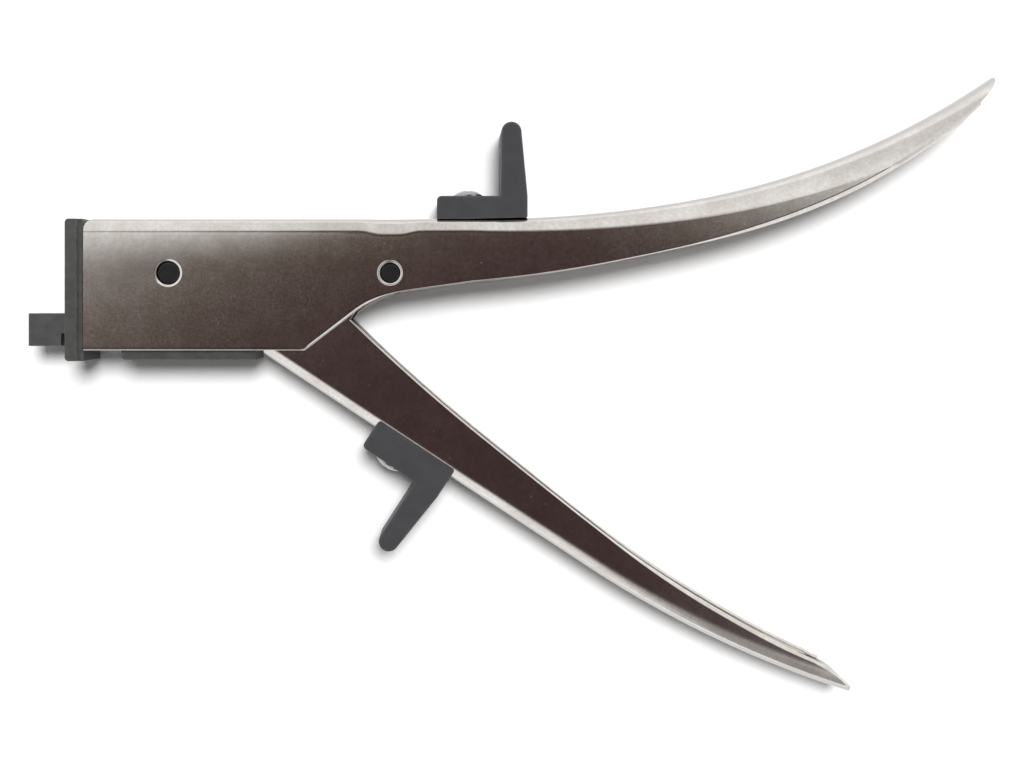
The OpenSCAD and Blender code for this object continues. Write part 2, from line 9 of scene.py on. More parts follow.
import json
import logging
import math
from collections.abc import Callable, Iterable, Sequence
from dataclasses import dataclass, field
from enum import Enum

import bmesh
import bpy
from mathutils import Matrix, Vector

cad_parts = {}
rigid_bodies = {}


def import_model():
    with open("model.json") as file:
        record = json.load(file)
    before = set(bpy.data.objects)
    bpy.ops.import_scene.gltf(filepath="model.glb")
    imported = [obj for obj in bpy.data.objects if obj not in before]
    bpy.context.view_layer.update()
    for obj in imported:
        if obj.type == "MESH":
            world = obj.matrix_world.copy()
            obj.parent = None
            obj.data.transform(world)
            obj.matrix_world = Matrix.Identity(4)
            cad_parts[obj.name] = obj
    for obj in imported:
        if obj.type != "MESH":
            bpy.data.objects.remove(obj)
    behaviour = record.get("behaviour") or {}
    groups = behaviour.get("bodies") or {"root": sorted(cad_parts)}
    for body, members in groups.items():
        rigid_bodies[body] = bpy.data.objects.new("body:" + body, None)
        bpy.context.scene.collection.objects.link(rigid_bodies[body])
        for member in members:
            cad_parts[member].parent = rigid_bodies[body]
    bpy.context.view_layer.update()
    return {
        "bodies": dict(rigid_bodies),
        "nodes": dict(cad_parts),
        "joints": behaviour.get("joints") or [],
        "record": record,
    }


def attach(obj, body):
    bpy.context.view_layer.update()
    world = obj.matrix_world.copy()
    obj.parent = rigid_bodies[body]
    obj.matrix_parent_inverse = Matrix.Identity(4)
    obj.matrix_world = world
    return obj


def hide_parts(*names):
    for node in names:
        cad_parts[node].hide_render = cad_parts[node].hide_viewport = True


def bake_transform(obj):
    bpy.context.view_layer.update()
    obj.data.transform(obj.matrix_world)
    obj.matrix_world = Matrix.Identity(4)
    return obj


LOG = logging.getLogger("hand_nibbler")

# A millimetre in metres, and how far points are welded in millimetres and in metres
MM = 0.001
SLIVER = 0.004
WELD = 1e-6

# Sizes that several pieces share, in millimetres and degrees
BODY_WIDTH = 12.7
LEVER_WIDTH = 9.4
UPPER_BACK = 10.5
LOWER_BACK = -26.7
REST_ANGLE = 33.4
SCREW_HOLE = 1.6
SPRING_HOOK = (7.8, 207.0)

# How far a cutting tool stands out of a face, and how far it reaches through a back
OVER = 1.0
THROUGH = 4.0

UP = Vector((0, 0, 1))

Point = tuple[float, float]
Triple = tuple[float, float, float]
Loop = list[Vector]
Piece = bpy.types.Object
Socket = bpy.types.NodeSocket
Sockets = bpy.types.bpy_prop_collection
Tree = bpy.types.NodeTree


class Body(Enum):
    """Bodies that new pieces ride on."""

    FRAME = "frame"
    LEVER = "lever"


class Slot(Enum):
    """Material slots of the part."""

    NICKEL = "nickel_plate"
    OXIDE = "black_oxide"
    TOOL = "tool_steel"
    PIN = "pin_steel"
    WIRE = "spring_wire"
    ZINC = "bright_zinc"
    PLASTIC = "black_plastic"


class Cut(Enum):
    """What a tool solid does to the piece that it meets."""

    AWAY = "DIFFERENCE"
    JOIN = "UNION"


# Mesh helpers


def polar(centre: Point, radius: float, degrees: float) -> Point:
    """Point at a distance and an angle from a centre."""
    turn = math.radians(degrees)
    return centre[0] + radius * math.cos(turn), centre[1] + radius * math.sin(turn)


def arc(centre: Point, radius: float, first: float, last: float, steps: int) -> list[Point]:
    """Points of an arc from one angle to another, in degrees."""
    return [polar(centre, radius, first + (last - first) * i / steps) for i in range(steps + 1)]


def smooth(value: float, low: float, high: float) -> float:
    """Smooth step from 0 at low to 1 at high."""
    t = min(1.0, max(0.0, (value - low) / (high - low)))
    return t * t * (3 - 2 * t)


def spaced(marks: Sequence[float], pitch: float) -> list[float]:
    """Places from the first mark to the last, all marks among them, no further apart than a pitch.

    Args:
        marks: Places that have to be met, in rising order.
        pitch: Widest step.

    Returns:
        The places, in rising order.
    """
    places = [marks[0]]
    for low, high in zip(marks, marks[1:]):
        count = max(1, math.ceil((high - low) / pitch))
        places += [low + (high - low) * i / count for i in range(1, count + 1)]
    return places


def placed(name: str, data: bpy.types.ID) -> Piece:
    """New object of some data, linked to the scene."""
    piece = bpy.data.objects.new(name, data)
    bpy.context.scene.collection.objects.link(piece)
    return piece


def solid(name: str, loops: Sequence[Loop], hollow: bool = False) -> Piece:
    """Closed skin over a row of loops that have equally many points.

    Args:
        name: Name of the new object.
        loops: Closed loops of points, from one end of the solid to the other.
        hollow: Whether a loop goes out along one wall and back along the other, so that its ends
            are closed by strips between the two walls.

    Returns:
        The object, linked to the scene.
    """
    mesh = bpy.data.meshes.new(name)
    made = bmesh.new()
    rows = [[made.verts.new(point) for point in loop] for loop in loops]
    count = len(rows[0])
    for near, far in zip(rows, rows[1:]):
        for k in range(count):
            step = (k + 1) % count
            made.faces.new((near[k], near[step], far[step], far[k]))
    for row in (rows[0], rows[-1]):
        if not hollow:
            made.faces.new(row)
            continue
        for k in range(count // 2 - 1):
            made.faces.new((row[k], row[k + 1], row[count - 2 - k], row[count - 1 - k]))
    bmesh.ops.recalc_face_normals(made, faces=made.faces)
    made.to_mesh(mesh)
    made.free()
    return placed(name, mesh)


def prism(outline: Sequence[Point], low: float, high: float) -> Piece:
    """Solid of an outline in the side plane, between two heights."""
    return solid("prism", [[Vector((x, y, z)) for x, y in outline] for z in (low, high)])


def turned(profile: Sequence[Point], base: Vector, axis: Vector, sides: int = 64) -> Piece:
    """Turned solid about an axis.

    Args:
        profile: Rows of a distance along the axis and a radius.
        base: Point of the axis that distances count from.
        axis: Direction of the axis.
        sides: Number of facets round it.

    Returns:
        The turned object.
    """
    aim = axis.to_track_quat("Z", "Y")
    loops = [
        [base + aim @ Vector((*polar((0, 0), radius, 360 * k / sides), run)) for k in range(sides)]
        for run, radius in profile
    ]
    return solid("turned", loops)


def carve(piece: Piece, tools: Sequence[Piece], cut: Cut) -> None:
    """Cut tool solids away from a piece, or join them to it, and remove them."""
    for tool in tools:
        change = piece.modifiers.new("carve", "BOOLEAN")
        change.object = tool
        change.operation = cut.value
        change.solver = "MANIFOLD"
    settled = piece.evaluated_get(bpy.context.evaluated_depsgraph_get())
    old, piece.data = piece.data, bpy.data.meshes.new_from_object(settled)
    piece.modifiers.clear()
    bpy.data.meshes.remove(old)
    for tool in tools:
        bpy.data.objects.remove(tool)
    made = bmesh.new()
    made.from_mesh(piece.data)
    bmesh.ops.remove_doubles(made, verts=made.verts, dist=SLIVER)
    bmesh.ops.dissolve_degenerate(made, edges=made.edges, dist=SLIVER)
    made.to_mesh(piece.data)
    made.free()
    piece.data.name = piece.name


def shade(piece: Piece, crease: float = 15.0) -> None:
    """Smooth shading that breaks at creases and keeps large flat faces flat."""
    piece.data.polygons.foreach_set("use_smooth", [True] * len(piece.data.polygons))
    piece.data.set_sharp_from_angle(angle=math.radians(crease))
    weighted = piece.modifiers.new("flat_faces", "WEIGHTED_NORMAL")
    weighted.keep_sharp = True


def soften(node: Piece, width: float, crease: float = 32.0, facets: int = 3) -> None:
    """Break the sharp edges of a construction solid without touching its mesh.

    Args:
        node: Object of the solid.
        width: Width of the broken edges, in millimetres.
        crease: Least angle of an edge that is broken, in degrees.
        facets: Facets over a broken edge.
    """
    weld = node.modifiers.new("weld", "WELD")
    weld.merge_threshold = WELD
    bevel = node.modifiers.new("broken_edges", "BEVEL")
    bevel.width = width * MM
    bevel.segments = facets
    bevel.limit_method = "ANGLE"
    bevel.angle_limit = math.radians(crease)
    node.modifiers.new("flat_faces", "WEIGHTED_NORMAL").keep_sharp = False


# Channel handles


@dataclass(frozen=True)
class Sheet:
    """Pressed sheet of both handles.

    Attributes:
        thickness: Thickness of the sheet.
        bend: Outside bend radius at the body.
        tip_bend: Outside bend radius at the tip of the grip.
        least_bend: Smallest inside bend radius.
        edge: Width of the bevel on the free edges.
        inner_edge: Widest rounding inside them.
        bevel: Shares of that bevel's width and their slopes in degrees, from the cheek out.
        edge_flat: Flat left between a bend and the free edge.
        cheek_rows: Rows of faces down a cheek.
        crowding: Power by which those rows crowd towards the bend.
        brim_shares: Further rows on each cheek close to its free edge, as shares of its depth.
        fine_rows: Finer rows of faces beside the bend.
        bend_rows: Rows of faces round a bend.
        web_rows: Rows of faces over half the web.
    """

    thickness: float = 1.3
    bend: float = 2.5
    tip_bend: float = 6.3
    least_bend: float = 0.3
    edge: float = 0.3
    inner_edge: float = 0.3
    bevel: tuple[Point, ...] = ((0.1, 7.0), (0.12, 19.0), (0.14, 34.0), (0.2, 40.0), (0.22, 45.0),
                                (0.22, 49.0))
    edge_flat: float = 0.45
    cheek_rows: int = 14
    crowding: float = 1.6
    brim_shares: Point = (0.985, 0.96)
    fine_rows: int = 4
    bend_rows: int = 14
    web_rows: int = 3

    @property
    def edge_rows(self) -> int:
        """Rows of faces over a free edge."""
        return len(self.bevel)

    def half(self, depth: float, width: float, bend: float, inset: float, round_off: float) -> list[Point]:
        """One wall of the upper half of the section.

        Args:
            depth: Depth of the channel below its back.
            width: Width over the cheeks.
            bend: Outside bend radius.
            inset: Distance of the wall inside the outer face.
            round_off: Width of the bevel of the free edge, or below 0 the rounding of the inner wall.

        Returns:
            Points of depth and height, from the free edge to the middle of the web.
        """
        radius = max(bend - inset, self.least_bend)
        turn = inset + radius
        brim = depth - abs(round_off)
        first = math.degrees(math.acos(max(-1.0, min(0.0, (depth - self.edge_flat - turn) / radius))))
        bend_end = polar((turn, width - turn), radius, first)
        cheek = bend_end[1]
        if round_off > 0:
            rim = [(brim, cheek)]
            for share, slope in self.bevel:
                step = share * round_off
                rim.insert(0, (rim[0][0] + step, rim[0][1] - step * math.tan(math.radians(slope))))
        else:
            edge = arc((brim, 0), -round_off, 0, 90, self.edge_rows)
            rim = [(q, cheek - round_off - rise) for q, rise in edge]
        reach = brim - bend_end[0]
        shares = [*self.brim_shares, *(1 - k / self.cheek_rows for k in range(1, self.cheek_rows))]
        steps = [reach * share**self.crowding for share in shares]
        steps += [steps[-1] * k / self.fine_rows for k in reversed(range(self.fine_rows))]
        wall = [(bend_end[0] + step, cheek) for step in steps]
        corner = arc((turn, width - turn), radius, first, 180, self.bend_rows)[1:]
        reach = width - turn - width / 2
        web = [(inset, width / 2 + reach * (1 - k / self.web_rows)) for k in range(1, self.web_rows + 1)]
        return rim + wall + corner + web

    def section(self, depth: float, width: float, bend: float, pinch: float, edge: float) -> list[Point]:
        """Closed section of a channel: out along the outer wall and back along the inner one.

        Args:
            depth: Depth of the channel below its back.
            width: Width over the cheeks.
            bend: Outside bend radius.
            pinch: How far both walls are drawn towards the middle of the sheet, at a broken end.
            edge: Width of the bevel on the outer free edge.

        Returns:
            Points of depth and height.
        """
        walls = []
        left = 1 - 2 * pinch / self.thickness
        inner = min(edge, self.inner_edge)
        for inset, round_off in ((pinch, edge * left), (self.thickness - pinch, -inner * left)):
            upper = self.half(depth, width, bend, inset, round_off)
            walls.append(upper + [(q, width - z) for q, z in reversed(upper[:-1])])
        return walls[0] + walls[1][::-1]


@dataclass
class Handle:
    """One pressed channel, swept along its back.

    Attributes:
        width: Width over the cheeks.
        low: Height of the lower cheek over the resting plane.
        side: 1 where the channel opens to the left of its run, and -1 to the right.
        start: Front end of the back.
        straight: Straight length of the back.
        arcs: Lengths and radii of the arcs that follow, which turn to the left.
        body: Length of back before the grip.
        stop_screw: Place of the hand stop's screw along the back, from the pivot axis.
        tip_slant: How far the free edges end short of the tip.
        tip_power: How round the slanted end is, 1 for a straight cut and 2 for an ellipse.
        sheet: Sheet that it is pressed from.
        tip_edge: Width of the broken edge at the tip.
        tip_round: Rounding of the tip's corners.
        fullness: How much deeper than its taper the grip is beyond its middle.
        full_span: Shares of the grip between which that fullness comes in.
        slim_span: Shares of the grip between which part of it goes again.
        slimming: That part.
        rim: Widest bevel on the grip's free edge.
        rim_span: Shares of the grip between which the bevel widens.
        rim_end: Shares of the grip between which it narrows again.
        rim_loss: Part of its growth that goes there.
        pitch: Widest step between two sections.
    """

    width: float
    low: float
    side: int
    start: Point
    straight: float
    arcs: tuple[Point, ...]
    body: float
    stop_screw: float
    tip_slant: float
    tip_power: float
    sheet: Sheet = field(default_factory=Sheet)
    tip_edge: float = 0.3
    tip_round: float = 2.2
    fullness: float = 0.5
    full_span: Point = (0.25, 0.65)
    slim_span: Point = (0.66, 0.95)
    slimming: float = 0.65
    rim: float = 0.8
    rim_span: Point = (0.3, 0.62)
    rim_end: Point = (0.78, 0.97)
    rim_loss: float = 0.6
    pitch: float = 0.9

    @property
    def run(self) -> float:
        """Length of the whole back."""
        return self.straight + sum(length for length, _ in self.arcs)

    @property
    def middle(self) -> float:
        """Height of the plane midway between the cheeks."""
        return self.low + self.width / 2

    def path(self, s: float) -> Triple:
        """Place and heading of the back, the heading in radians, at a length along it."""
        reach = min(s, self.straight)
        x, y, heading = self.start[0] + reach, self.start[1], 0.0
        left = s - reach
        for length, radius in self.arcs:
            after = heading + min(left, length) / radius
            x += radius * (math.sin(after) - math.sin(heading))
            y -= radius * (math.cos(after) - math.cos(heading))
            left -= min(left, length)
            heading = after
        return x, y, heading

    def depth(self, s: float) -> float:
        """Depth of the channel at a length along the back."""
        raise NotImplementedError

    def relief(self, s: float, q: float) -> float:
        """How far a cheek lies inside its flat plane, at a length and a depth."""
        return 0.0

    def front_draw(self, q: float) -> float:
        """How far the front end is drawn back at a depth."""
        return 0.0

    def along(self, s: float) -> float:
        """Share of the grip up to a length along the back."""
        return max(0.0, (s - self.body) / (self.run - self.body))

    def swelling(self, s: float) -> float:
        """Extra depth of the grip beyond its middle."""
        share = self.along(s)
        slim = 1 - self.slimming * smooth(share, *self.slim_span)
        return self.fullness * smooth(share, *self.full_span) * slim

    def edge(self, s: float) -> float:
        """Width of the bevel on the outer free edge, which grows along the grip and narrows at the tip."""
        share = self.along(s)
        wide = smooth(share, *self.rim_span) * (1 - self.rim_loss * smooth(share, *self.rim_end))
        return self.sheet.edge + (self.rim - self.sheet.edge) * wide

    def marks(self) -> list[float]:
        """Lengths along the back that need a section of their own."""
        ends = (self.run - self.width, self.run - self.tip_edge, self.run)
        return [0.0, self.sheet.edge, self.straight, *ends]

    def bend(self, s: float) -> float:
        """Bend radius, which opens along the grip."""
        return self.sheet.bend + (self.sheet.tip_bend - self.sheet.bend) * self.along(s)

    def ring(self, s: float) -> Loop:
        """Section of the channel at a length along the back, drawn in to a round end at the tip."""
        sheet = self.sheet
        depth = self.depth(s)
        half = self.width / 2
        edge = self.edge(s)
        brim = depth - edge
        pinch = max(0.0, sheet.edge - s, self.tip_edge - (self.run - s))
        points = sheet.section(depth, self.width, self.bend(s), pinch, edge)
        ramp = max(0.0, 1 - (self.run - s) / self.width)
        lead = max(0.0, 1 - s / self.width)
        ring = []
        rim = sheet.edge_rows + 1
        wall = len(points) // 2
        for k, (q, z) in enumerate(points):
            outer = points[min(max(min(k, len(points) - 1 - k), rim), wall - 1 - rim)]
            off = min(1.0, max(0.0, 1 + (abs(outer[1] - half) - half) / self.tip_round))
            down = min(1.0, q / brim) ** self.tip_power
            back = ramp * (self.tip_round * (1 - math.sqrt(1 - off * off))
                           + self.tip_slant * (1 - (1 - down) ** (1 / self.tip_power)))
            x, y, heading = self.path(s - back + lead * self.front_draw(q))
            inside = self.relief(s, q) * (half - z) / half
            reach = self.side * q
            ring.append(Vector((x - reach * math.sin(heading), y + reach * math.cos(heading),
                                self.low + z + inside)))
        return ring

    def swept(self, name: str) -> Piece:
        """The bare channel, before its holes."""
        return solid(name, [self.ring(s) for s in spaced(self.marks(), self.pitch)], hollow=True)

    def screw_bore(self) -> Piece:
        """Tool for the hole of the stop's screw through the back."""
        base = Vector((self.stop_screw, self.start[1] - self.side * OVER, self.middle))
        return turned([(0, SCREW_HOLE), (THROUGH, SCREW_HOLE)], base, Vector((0, self.side, 0)))


@dataclass
class UpperHandle(Handle):
    """Body and upper grip in one channel.

    Attributes:
        drop: Depth of the body's lower edge below the pivot axis.
        throat_run: Distance from the pivot axis forward to where that edge turns up.
        throat_angle: Slope of the throat.
        throat_radius: Radius between the throat and the underside of the grip.
        under_angle: Slope of the underside ahead of the grip.
        grip_depth: Depth of the channel where the grip starts.
        tip_depth: Depth of the channel at the tip.
        corner: Radius of the upper front corner.
        pins: Places along the body and radii of the holes for the cross pins, and widths of their lips.
        lips: Slopes of those lips at their outer and inner edges, in degrees.
        lip_rows: Rows of faces over a lip.
        front_row: Length from the front to a section that keeps the front corner round.
        crown: Depth and width of the slight crown of the cheeks under the bend.
        crown_span: Places along the body between which the crown gets flatter.
        crown_loss: Share of it that goes there.
        draft: Length of grip before its cheeks lean, and their lean for each millimetre on, in degrees.
        roll: Width of the bevel along the throat.
        roll_start: How far before and behind the throat's foot that bevel widens.
        roll_end: Places along the body between which it goes again.
        groove: Depth and width of the press line along the bend.
        swell: Growth of the bend's radius over the pivot, and the half length of that place.
    """

    drop: float = 14.9
    throat_run: float = 16.4
    throat_angle: float = 37.4
    throat_radius: float = 22.0
    under_angle: float = 8.0
    grip_depth: float = 12.1
    tip_depth: float = 2.5
    corner: float = 1.8
    pins: tuple[Triple, ...] = ((-42.7, 2.32, 0.4), (0.0, 2.02, 0.45))
    lips: tuple[Point, ...] = ((17.0, 24.0), (32.0, 80.0))
    lip_rows: int = 6
    front_row: float = 1.0
    crown: Point = (0.17, 6.5)
    crown_span: Point = (-40.0, 10.0)
    crown_loss: float = 0.8
    draft: Point = (12.0, 0.128)
    roll: float = 0.62
    roll_start: float = 0.6
    roll_end: Point = (-6.0, 2.0)
    groove: Point = (0.011, 0.45)
    swell: Point = (0.75, 4.2)

    def underside(self, x: float) -> float:
        """Height of the body's lower edge at a distance from the pivot axis."""
        foot = (-self.throat_run, -self.drop)
        end = (self.start[0] + self.body, self.start[1] - self.grip_depth)
        steep, gentle = (math.tan(math.radians(a)) for a in (self.throat_angle, self.under_angle))
        meet = (end[1] - foot[1] - gentle * end[0] + steep * foot[0]) / (steep - gentle)
        corner = (meet, foot[1] + steep * (meet - foot[0]))
        turn = (self.throat_angle - self.under_angle) / 2
        lean = (self.throat_angle + self.under_angle) / 2
        radius = self.throat_radius
        centre = polar(corner, radius / math.cos(math.radians(turn)), lean - 90)
        if x <= foot[0]:
            return foot[1]
        if x < polar(centre, radius, self.throat_angle + 90)[0]:
            return foot[1] + steep * (x - foot[0])
        if x > polar(centre, radius, self.under_angle + 90)[0]:
            return end[1] + gentle * (x - end[0])
        return centre[1] + math.sqrt(radius * radius - (x - centre[0]) ** 2)

    def depth(self, s: float) -> float:
        """Depth of the channel: the body's outline, then an even taper along the grip."""
        if s <= self.body:
            return self.start[1] - self.underside(self.start[0] + s)
        return self.grip_depth + (self.tip_depth - self.grip_depth) * self.along(s) + self.swelling(s)

    def relief(self, s: float, q: float) -> float:
        """Slight crown of the cheeks under the bend, the press line along it and the grip's lean."""
        height, reach = self.crown
        below = q - self.bend(s)
        fade = 1 - self.crown_loss * smooth(self.start[0] + s, *self.crown_span)
        crown = height * fade * max(0.0, 1 - max(0.0, below) / reach) ** 2
        deep, wide = self.groove
        ahead = 1 - smooth(s, self.body, self.body + self.width)
        line = deep * max(0.0, 1 - abs(2 * below / wide - 1)) * ahead
        upright, rate = self.draft
        lean = math.tan(math.radians(rate * max(0.0, s - self.body - upright)))
        return crown + line + lean * max(0.0, self.depth(s) - q)

    def edge(self, s: float) -> float:
        """Width of the bevel on the free edge, which the press rolls over along the throat."""
        x = self.start[0] + s
        foot = -self.throat_run
        rolled = smooth(x, foot - self.roll_start, foot + self.roll_start) * (1 - smooth(x, *self.roll_end))
        return super().edge(s) + (self.roll - self.sheet.edge) * rolled

    def bend(self, s: float) -> float:
        """Bend radius, a little larger over the pivot."""
        grown, half = self.swell
        away = (self.start[0] + s) / half
        return super().bend(s) + grown * math.exp(-(away**4))

    def front_draw(self, q: float) -> float:
        """Rounded upper front corner."""
        off = max(0.0, 1 - q / self.corner)
        return self.corner * (1 - math.sqrt(1 - off * off))

    def marks(self) -> list[float]:
        """The foot of the throat and the start of the grip have sections of their own."""
        return sorted({*super().marks(), self.front_row, -self.throat_run - self.start[0], self.body})

    def build(self) -> Piece:
        """The channel with its pin holes and the hole of the stop's screw."""
        piece = self.swept("upper_handle_shell")
        tools = []
        rows = self.lip_rows
        for (x, radius, wide), (shallow, steep) in zip(self.pins, self.lips):
            low = [(-OVER, radius + wide), (0.0, radius + wide)]
            for k in range(rows):
                slope = math.radians(shallow + (steep - shallow) * k / (rows - 1))
                step = math.cos(slope) * wide / rows
                low.append((low[-1][0] + step * math.tan(slope), low[-1][1] - step))
            low[-1] = (low[-1][0], radius)
            high = [(self.width - run, r) for run, r in reversed(low)]
            tools.append(turned(low + high, Vector((x, 0, self.low)), UP))
        carve(piece, [*tools, self.screw_bore()], Cut.AWAY)
        return piece


@dataclass
class LowerHandle(Handle):
    """The lever: ears round the pivot, neck and lower grip in one channel.

    Attributes:
        angle: Angle of the lever below the body at rest.
        neck: Distance along the lever from the pivot axis to where its upper edge begins.
        neck_step: Length of the step there.
        neck_radius: Radius of the upper edge between neck and grip.
        grip_depth: Depth of the channel where the grip starts.
        tip_depth: Depth of the channel at the tip.
        taper: How fast the depth falls towards the tip.
        boss: Radius of the ears.
        pivot_hole: Radius of the hole for the pivot pin.
        drive: Place of the drive pin from the pivot axis, at rest.
        drive_hole: Radius of its hole.
        hook: Distance and direction of the spring's hole from the pivot axis, at rest.
        hook_hole: Radius of that hole.
        nose_cut: Corners of the notch that clears the punch, at rest.
    """

    angle: float = REST_ANGLE
    neck: float = -1.6
    neck_step: float = 0.01
    neck_radius: float = 340.0
    grip_depth: float = 10.1
    tip_depth: float = 3.5
    taper: float = 1.3
    boss: float = 4.0
    pivot_hole: float = 2.05
    drive: Point = (-13.0, -10.3)
    drive_hole: float = 1.27
    hook: Point = SPRING_HOOK
    hook_hole: float = 0.75
    nose_cut: tuple[Point, Point] = ((-27.0, -14.5), (-1.0, -8.1))

    def depth(self, s: float) -> float:
        """Depth of the channel: ears, then the neck's arc, then a taper along the grip."""
        x = self.start[0] + s
        grip = self.run - self.body
        if s > self.body:
            left = 1 - self.along(s)
            return self.tip_depth + (self.grip_depth - self.tip_depth) * left**self.taper + self.swelling(s)
        if x < self.neck:
            return -self.start[1]
        slope = math.atan((self.grip_depth - self.tip_depth) * self.taper / grip)
        radius = self.neck_radius
        across = self.start[0] + self.body + radius * math.sin(slope) - x
        return self.grip_depth + radius * math.cos(slope) - math.sqrt(radius * radius - across * across)

    def marks(self) -> list[float]:
        """The step at the neck and the start of the grip have sections of their own."""
        step = self.neck - self.start[0]
        return sorted({*super().marks(), step - self.neck_step, step, self.body})

    def build(self) -> Piece:
        """The channel with its ears, holes and notches, turned to its place at rest."""
        piece = self.swept("lower_handle_shell")
        thick = self.sheet.thickness
        cheeks = (self.low, self.low + self.width - thick)
        ears = [turned([(0, self.boss), (thick, self.boss)], Vector((0, 0, z)), UP) for z in cheeks]
        carve(piece, ears, Cut.JOIN)
        nose = self.start
        reach = math.hypot(*nose)
        lead = math.degrees(math.atan2(nose[1], nose[0]) - math.acos(self.boss / reach)) + 360
        touch = polar((0, 0), self.boss, lead)
        ahead = 3 * self.boss
        wedge = [nose, touch, (touch[0] - ahead, touch[1]), (nose[0] - ahead, nose[1])]
        notch = prism(wedge, self.low - OVER, self.low + self.width + OVER)
        carve(piece, [notch, self.screw_bore()], Cut.AWAY)
        piece.data.transform(Matrix.Rotation(-math.radians(self.angle), 4, "Z"))
        tall = 2 * self.width
        bores = (((0, 0), self.pivot_hole, 0.0), (self.drive, self.drive_hole, 0.0),
                 (polar((0, 0), *self.hook), self.hook_hole, self.middle))
        tools = [turned([(z, r), (tall, r)], Vector((*at, 0)), UP) for at, r, z in bores]
        (x0, y0), (x1, y1) = self.nose_cut
        tools.append(prism([(x0, y0), (x1, y0), (x1, y1), (x0, y1)], self.low + thick,
                           self.low + self.width - thick))
        carve(piece, tools, Cut.AWAY)
        return piece


# Hand stops and spring


@dataclass
class HandStop:
    """Moulded angle piece that keeps the hand in its place on a grip.

    Attributes:
        name: Name of the piece.
        seat: Place of its front lower edge.
        angle: Turn of its seat, in degrees.
        flip: Whether it points away from the other side of the handle.
        heel: Height of the base's rear end over the seat.
        wrap: How far its sides reach down over the bends of the handle.
        length: Length of the base.
        base: Thickness of the base.
        height: Height of the leg.
        width: Width.
        leg: Thickness of the leg at the base.
        tip: Thickness of the leg at its round end.
        lean: Share of the leg's taper on its front face.
        corner: Rounding of the base's front.
        inner: Rounding of the inner corner.
        edge: Rounding of the side edges.
        edge_rows: Rows of faces over them.
        facets: Facets of the seat's corners, the round end, the inner corner and the base's front.
        lead_in: How far the leg's front face stands behind the inner corner.
        screw: Distance of the screw from the front.
    """

    name: str
    seat: Vector
    angle: float = 0.0
    flip: bool = False
    heel: float = 0.0
    wrap: float = 0.0
    length: float = 17.6
    base: float = 4.5
    height: float = 18.9
    width: float = 9.6
    leg: float = 5.2
    tip: float = 3.9
    lean: float = 0.1
    corner: float = 0.9
    inner: float = 0.7
    edge: float = 0.55
    edge_rows: int = 4
    facets: tuple[int, int, int, int] = (3, 16, 5, 6)
    lead_in: float = 0.02
    screw: float = 6.1

    def outline(self) -> list[Point]:
        """Side outline with its rounded corners, anticlockwise."""
        tip = self.tip / 2
        top = (self.length - self.leg + self.lean * (self.leg - self.tip) + tip, self.height - tip)
        small = self.corner / 3
        front = self.length - self.leg
        low = -self.wrap
        at_seat, at_end, inside, at_front = self.facets
        return [
            *arc((small, low + small), small, 180, 270, at_seat),
            (self.screw, low),
            *arc((self.length - small, low + self.heel + small), small, 270, 360, at_seat),
            (self.length, self.base),
            *arc(top, tip, 0, 180, at_end),
            (front + self.lead_in, self.base + 2 * self.inner),
            *arc((front - self.inner, self.base + self.inner), self.inner, 0, -90, inside),
            *arc((self.corner, self.base - self.corner), self.corner, 90, 180, at_front),
        ]

    @staticmethod
    def drawn_in(outline: Sequence[Point], by: float, seat: float, sharpest: float = 0.5) -> list[Point]:
        """Outline moved inwards, corner by corner, apart from the edges of the seat.

        Args:
            outline: Points of the outline, anticlockwise.
            by: Distance that its edges move.
            seat: Height below which no point rises.
            sharpest: Least share of a corner's own inset that is reckoned with.

        Returns:
            Points of the moved outline.
        """
        moved = []
        for before, here, after in zip((outline[-1], *outline), outline, (*outline[1:], outline[0])):
            first = (Vector(here) - Vector(before)).normalized()
            second = (Vector(after) - Vector(here)).normalized()
            lean = first + second
            inward = Vector((-lean.y, lean.x)).normalized()
            x, y = Vector(here) + inward * by / max(sharpest, inward.dot(Vector((-first.y, first.x))))
            moved.append((x, min(y, here[1]) if here[1] < seat else y))
        return moved

    def saddle(self, sheet: Sheet, width: float) -> Piece:
        """Solid of the handle's back, which the seat is shaped to.

        Args:
            sheet: Sheet of the handle.
            width: Width over the handle's cheeks.

        Returns:
            The solid, its back on the seat.
        """
        depth = 2 * sheet.bend
        wall = sheet.half(depth, width, sheet.bend, 0.0, sheet.edge)[sheet.edge_rows:]
        back = wall + [(q, width - z) for q, z in reversed(wall[:-1])]
        ends = (-self.length, 2 * self.length)
        return solid("saddle", [[Vector((x, -q, z - width / 2)) for q, z in back] for x in ends])

    def build(self, sheet: Sheet, width: float) -> Piece:
        """The moulding with rounded sides and its screw hole, on its seat.

        Args:
            sheet: Sheet of the handle that it sits on.
            width: Width over that handle's cheeks.

        Returns:
            The moulding.
        """
        outline = self.outline()
        turns = [math.pi / 2 * k / self.edge_rows for k in range(self.edge_rows + 1)]
        half = self.width / 2
        levels = [(self.edge * (1 - math.sin(t)), self.edge * (1 - math.cos(t)) - half) for t in turns]
        levels += [(by, -z) for by, z in reversed(levels)]
        seat = self.base / 2
        loops = [[Vector((*point, z)) for point in self.drawn_in(outline, by, seat)] for by, z in levels]
        piece = solid(self.name, loops)
        hole = [(-OVER, SCREW_HOLE), (self.base + OVER, SCREW_HOLE)]
        tools = [turned(hole, Vector((self.screw, self.base, 0)), Vector((0, -1, 0)))]
        if self.wrap:
            tools.append(self.saddle(sheet, width))
        carve(piece, tools, Cut.AWAY)
        place = Matrix.Translation(self.seat)
        if self.flip:
            place = place @ Matrix.Scale(-1, 4, Vector((0, 1, 0)))
        turn = Matrix.Rotation(-math.radians(self.angle), 4, "Z")
        piece.data.transform(turn @ place)
        if self.flip:
            piece.data.flip_normals()
        return piece


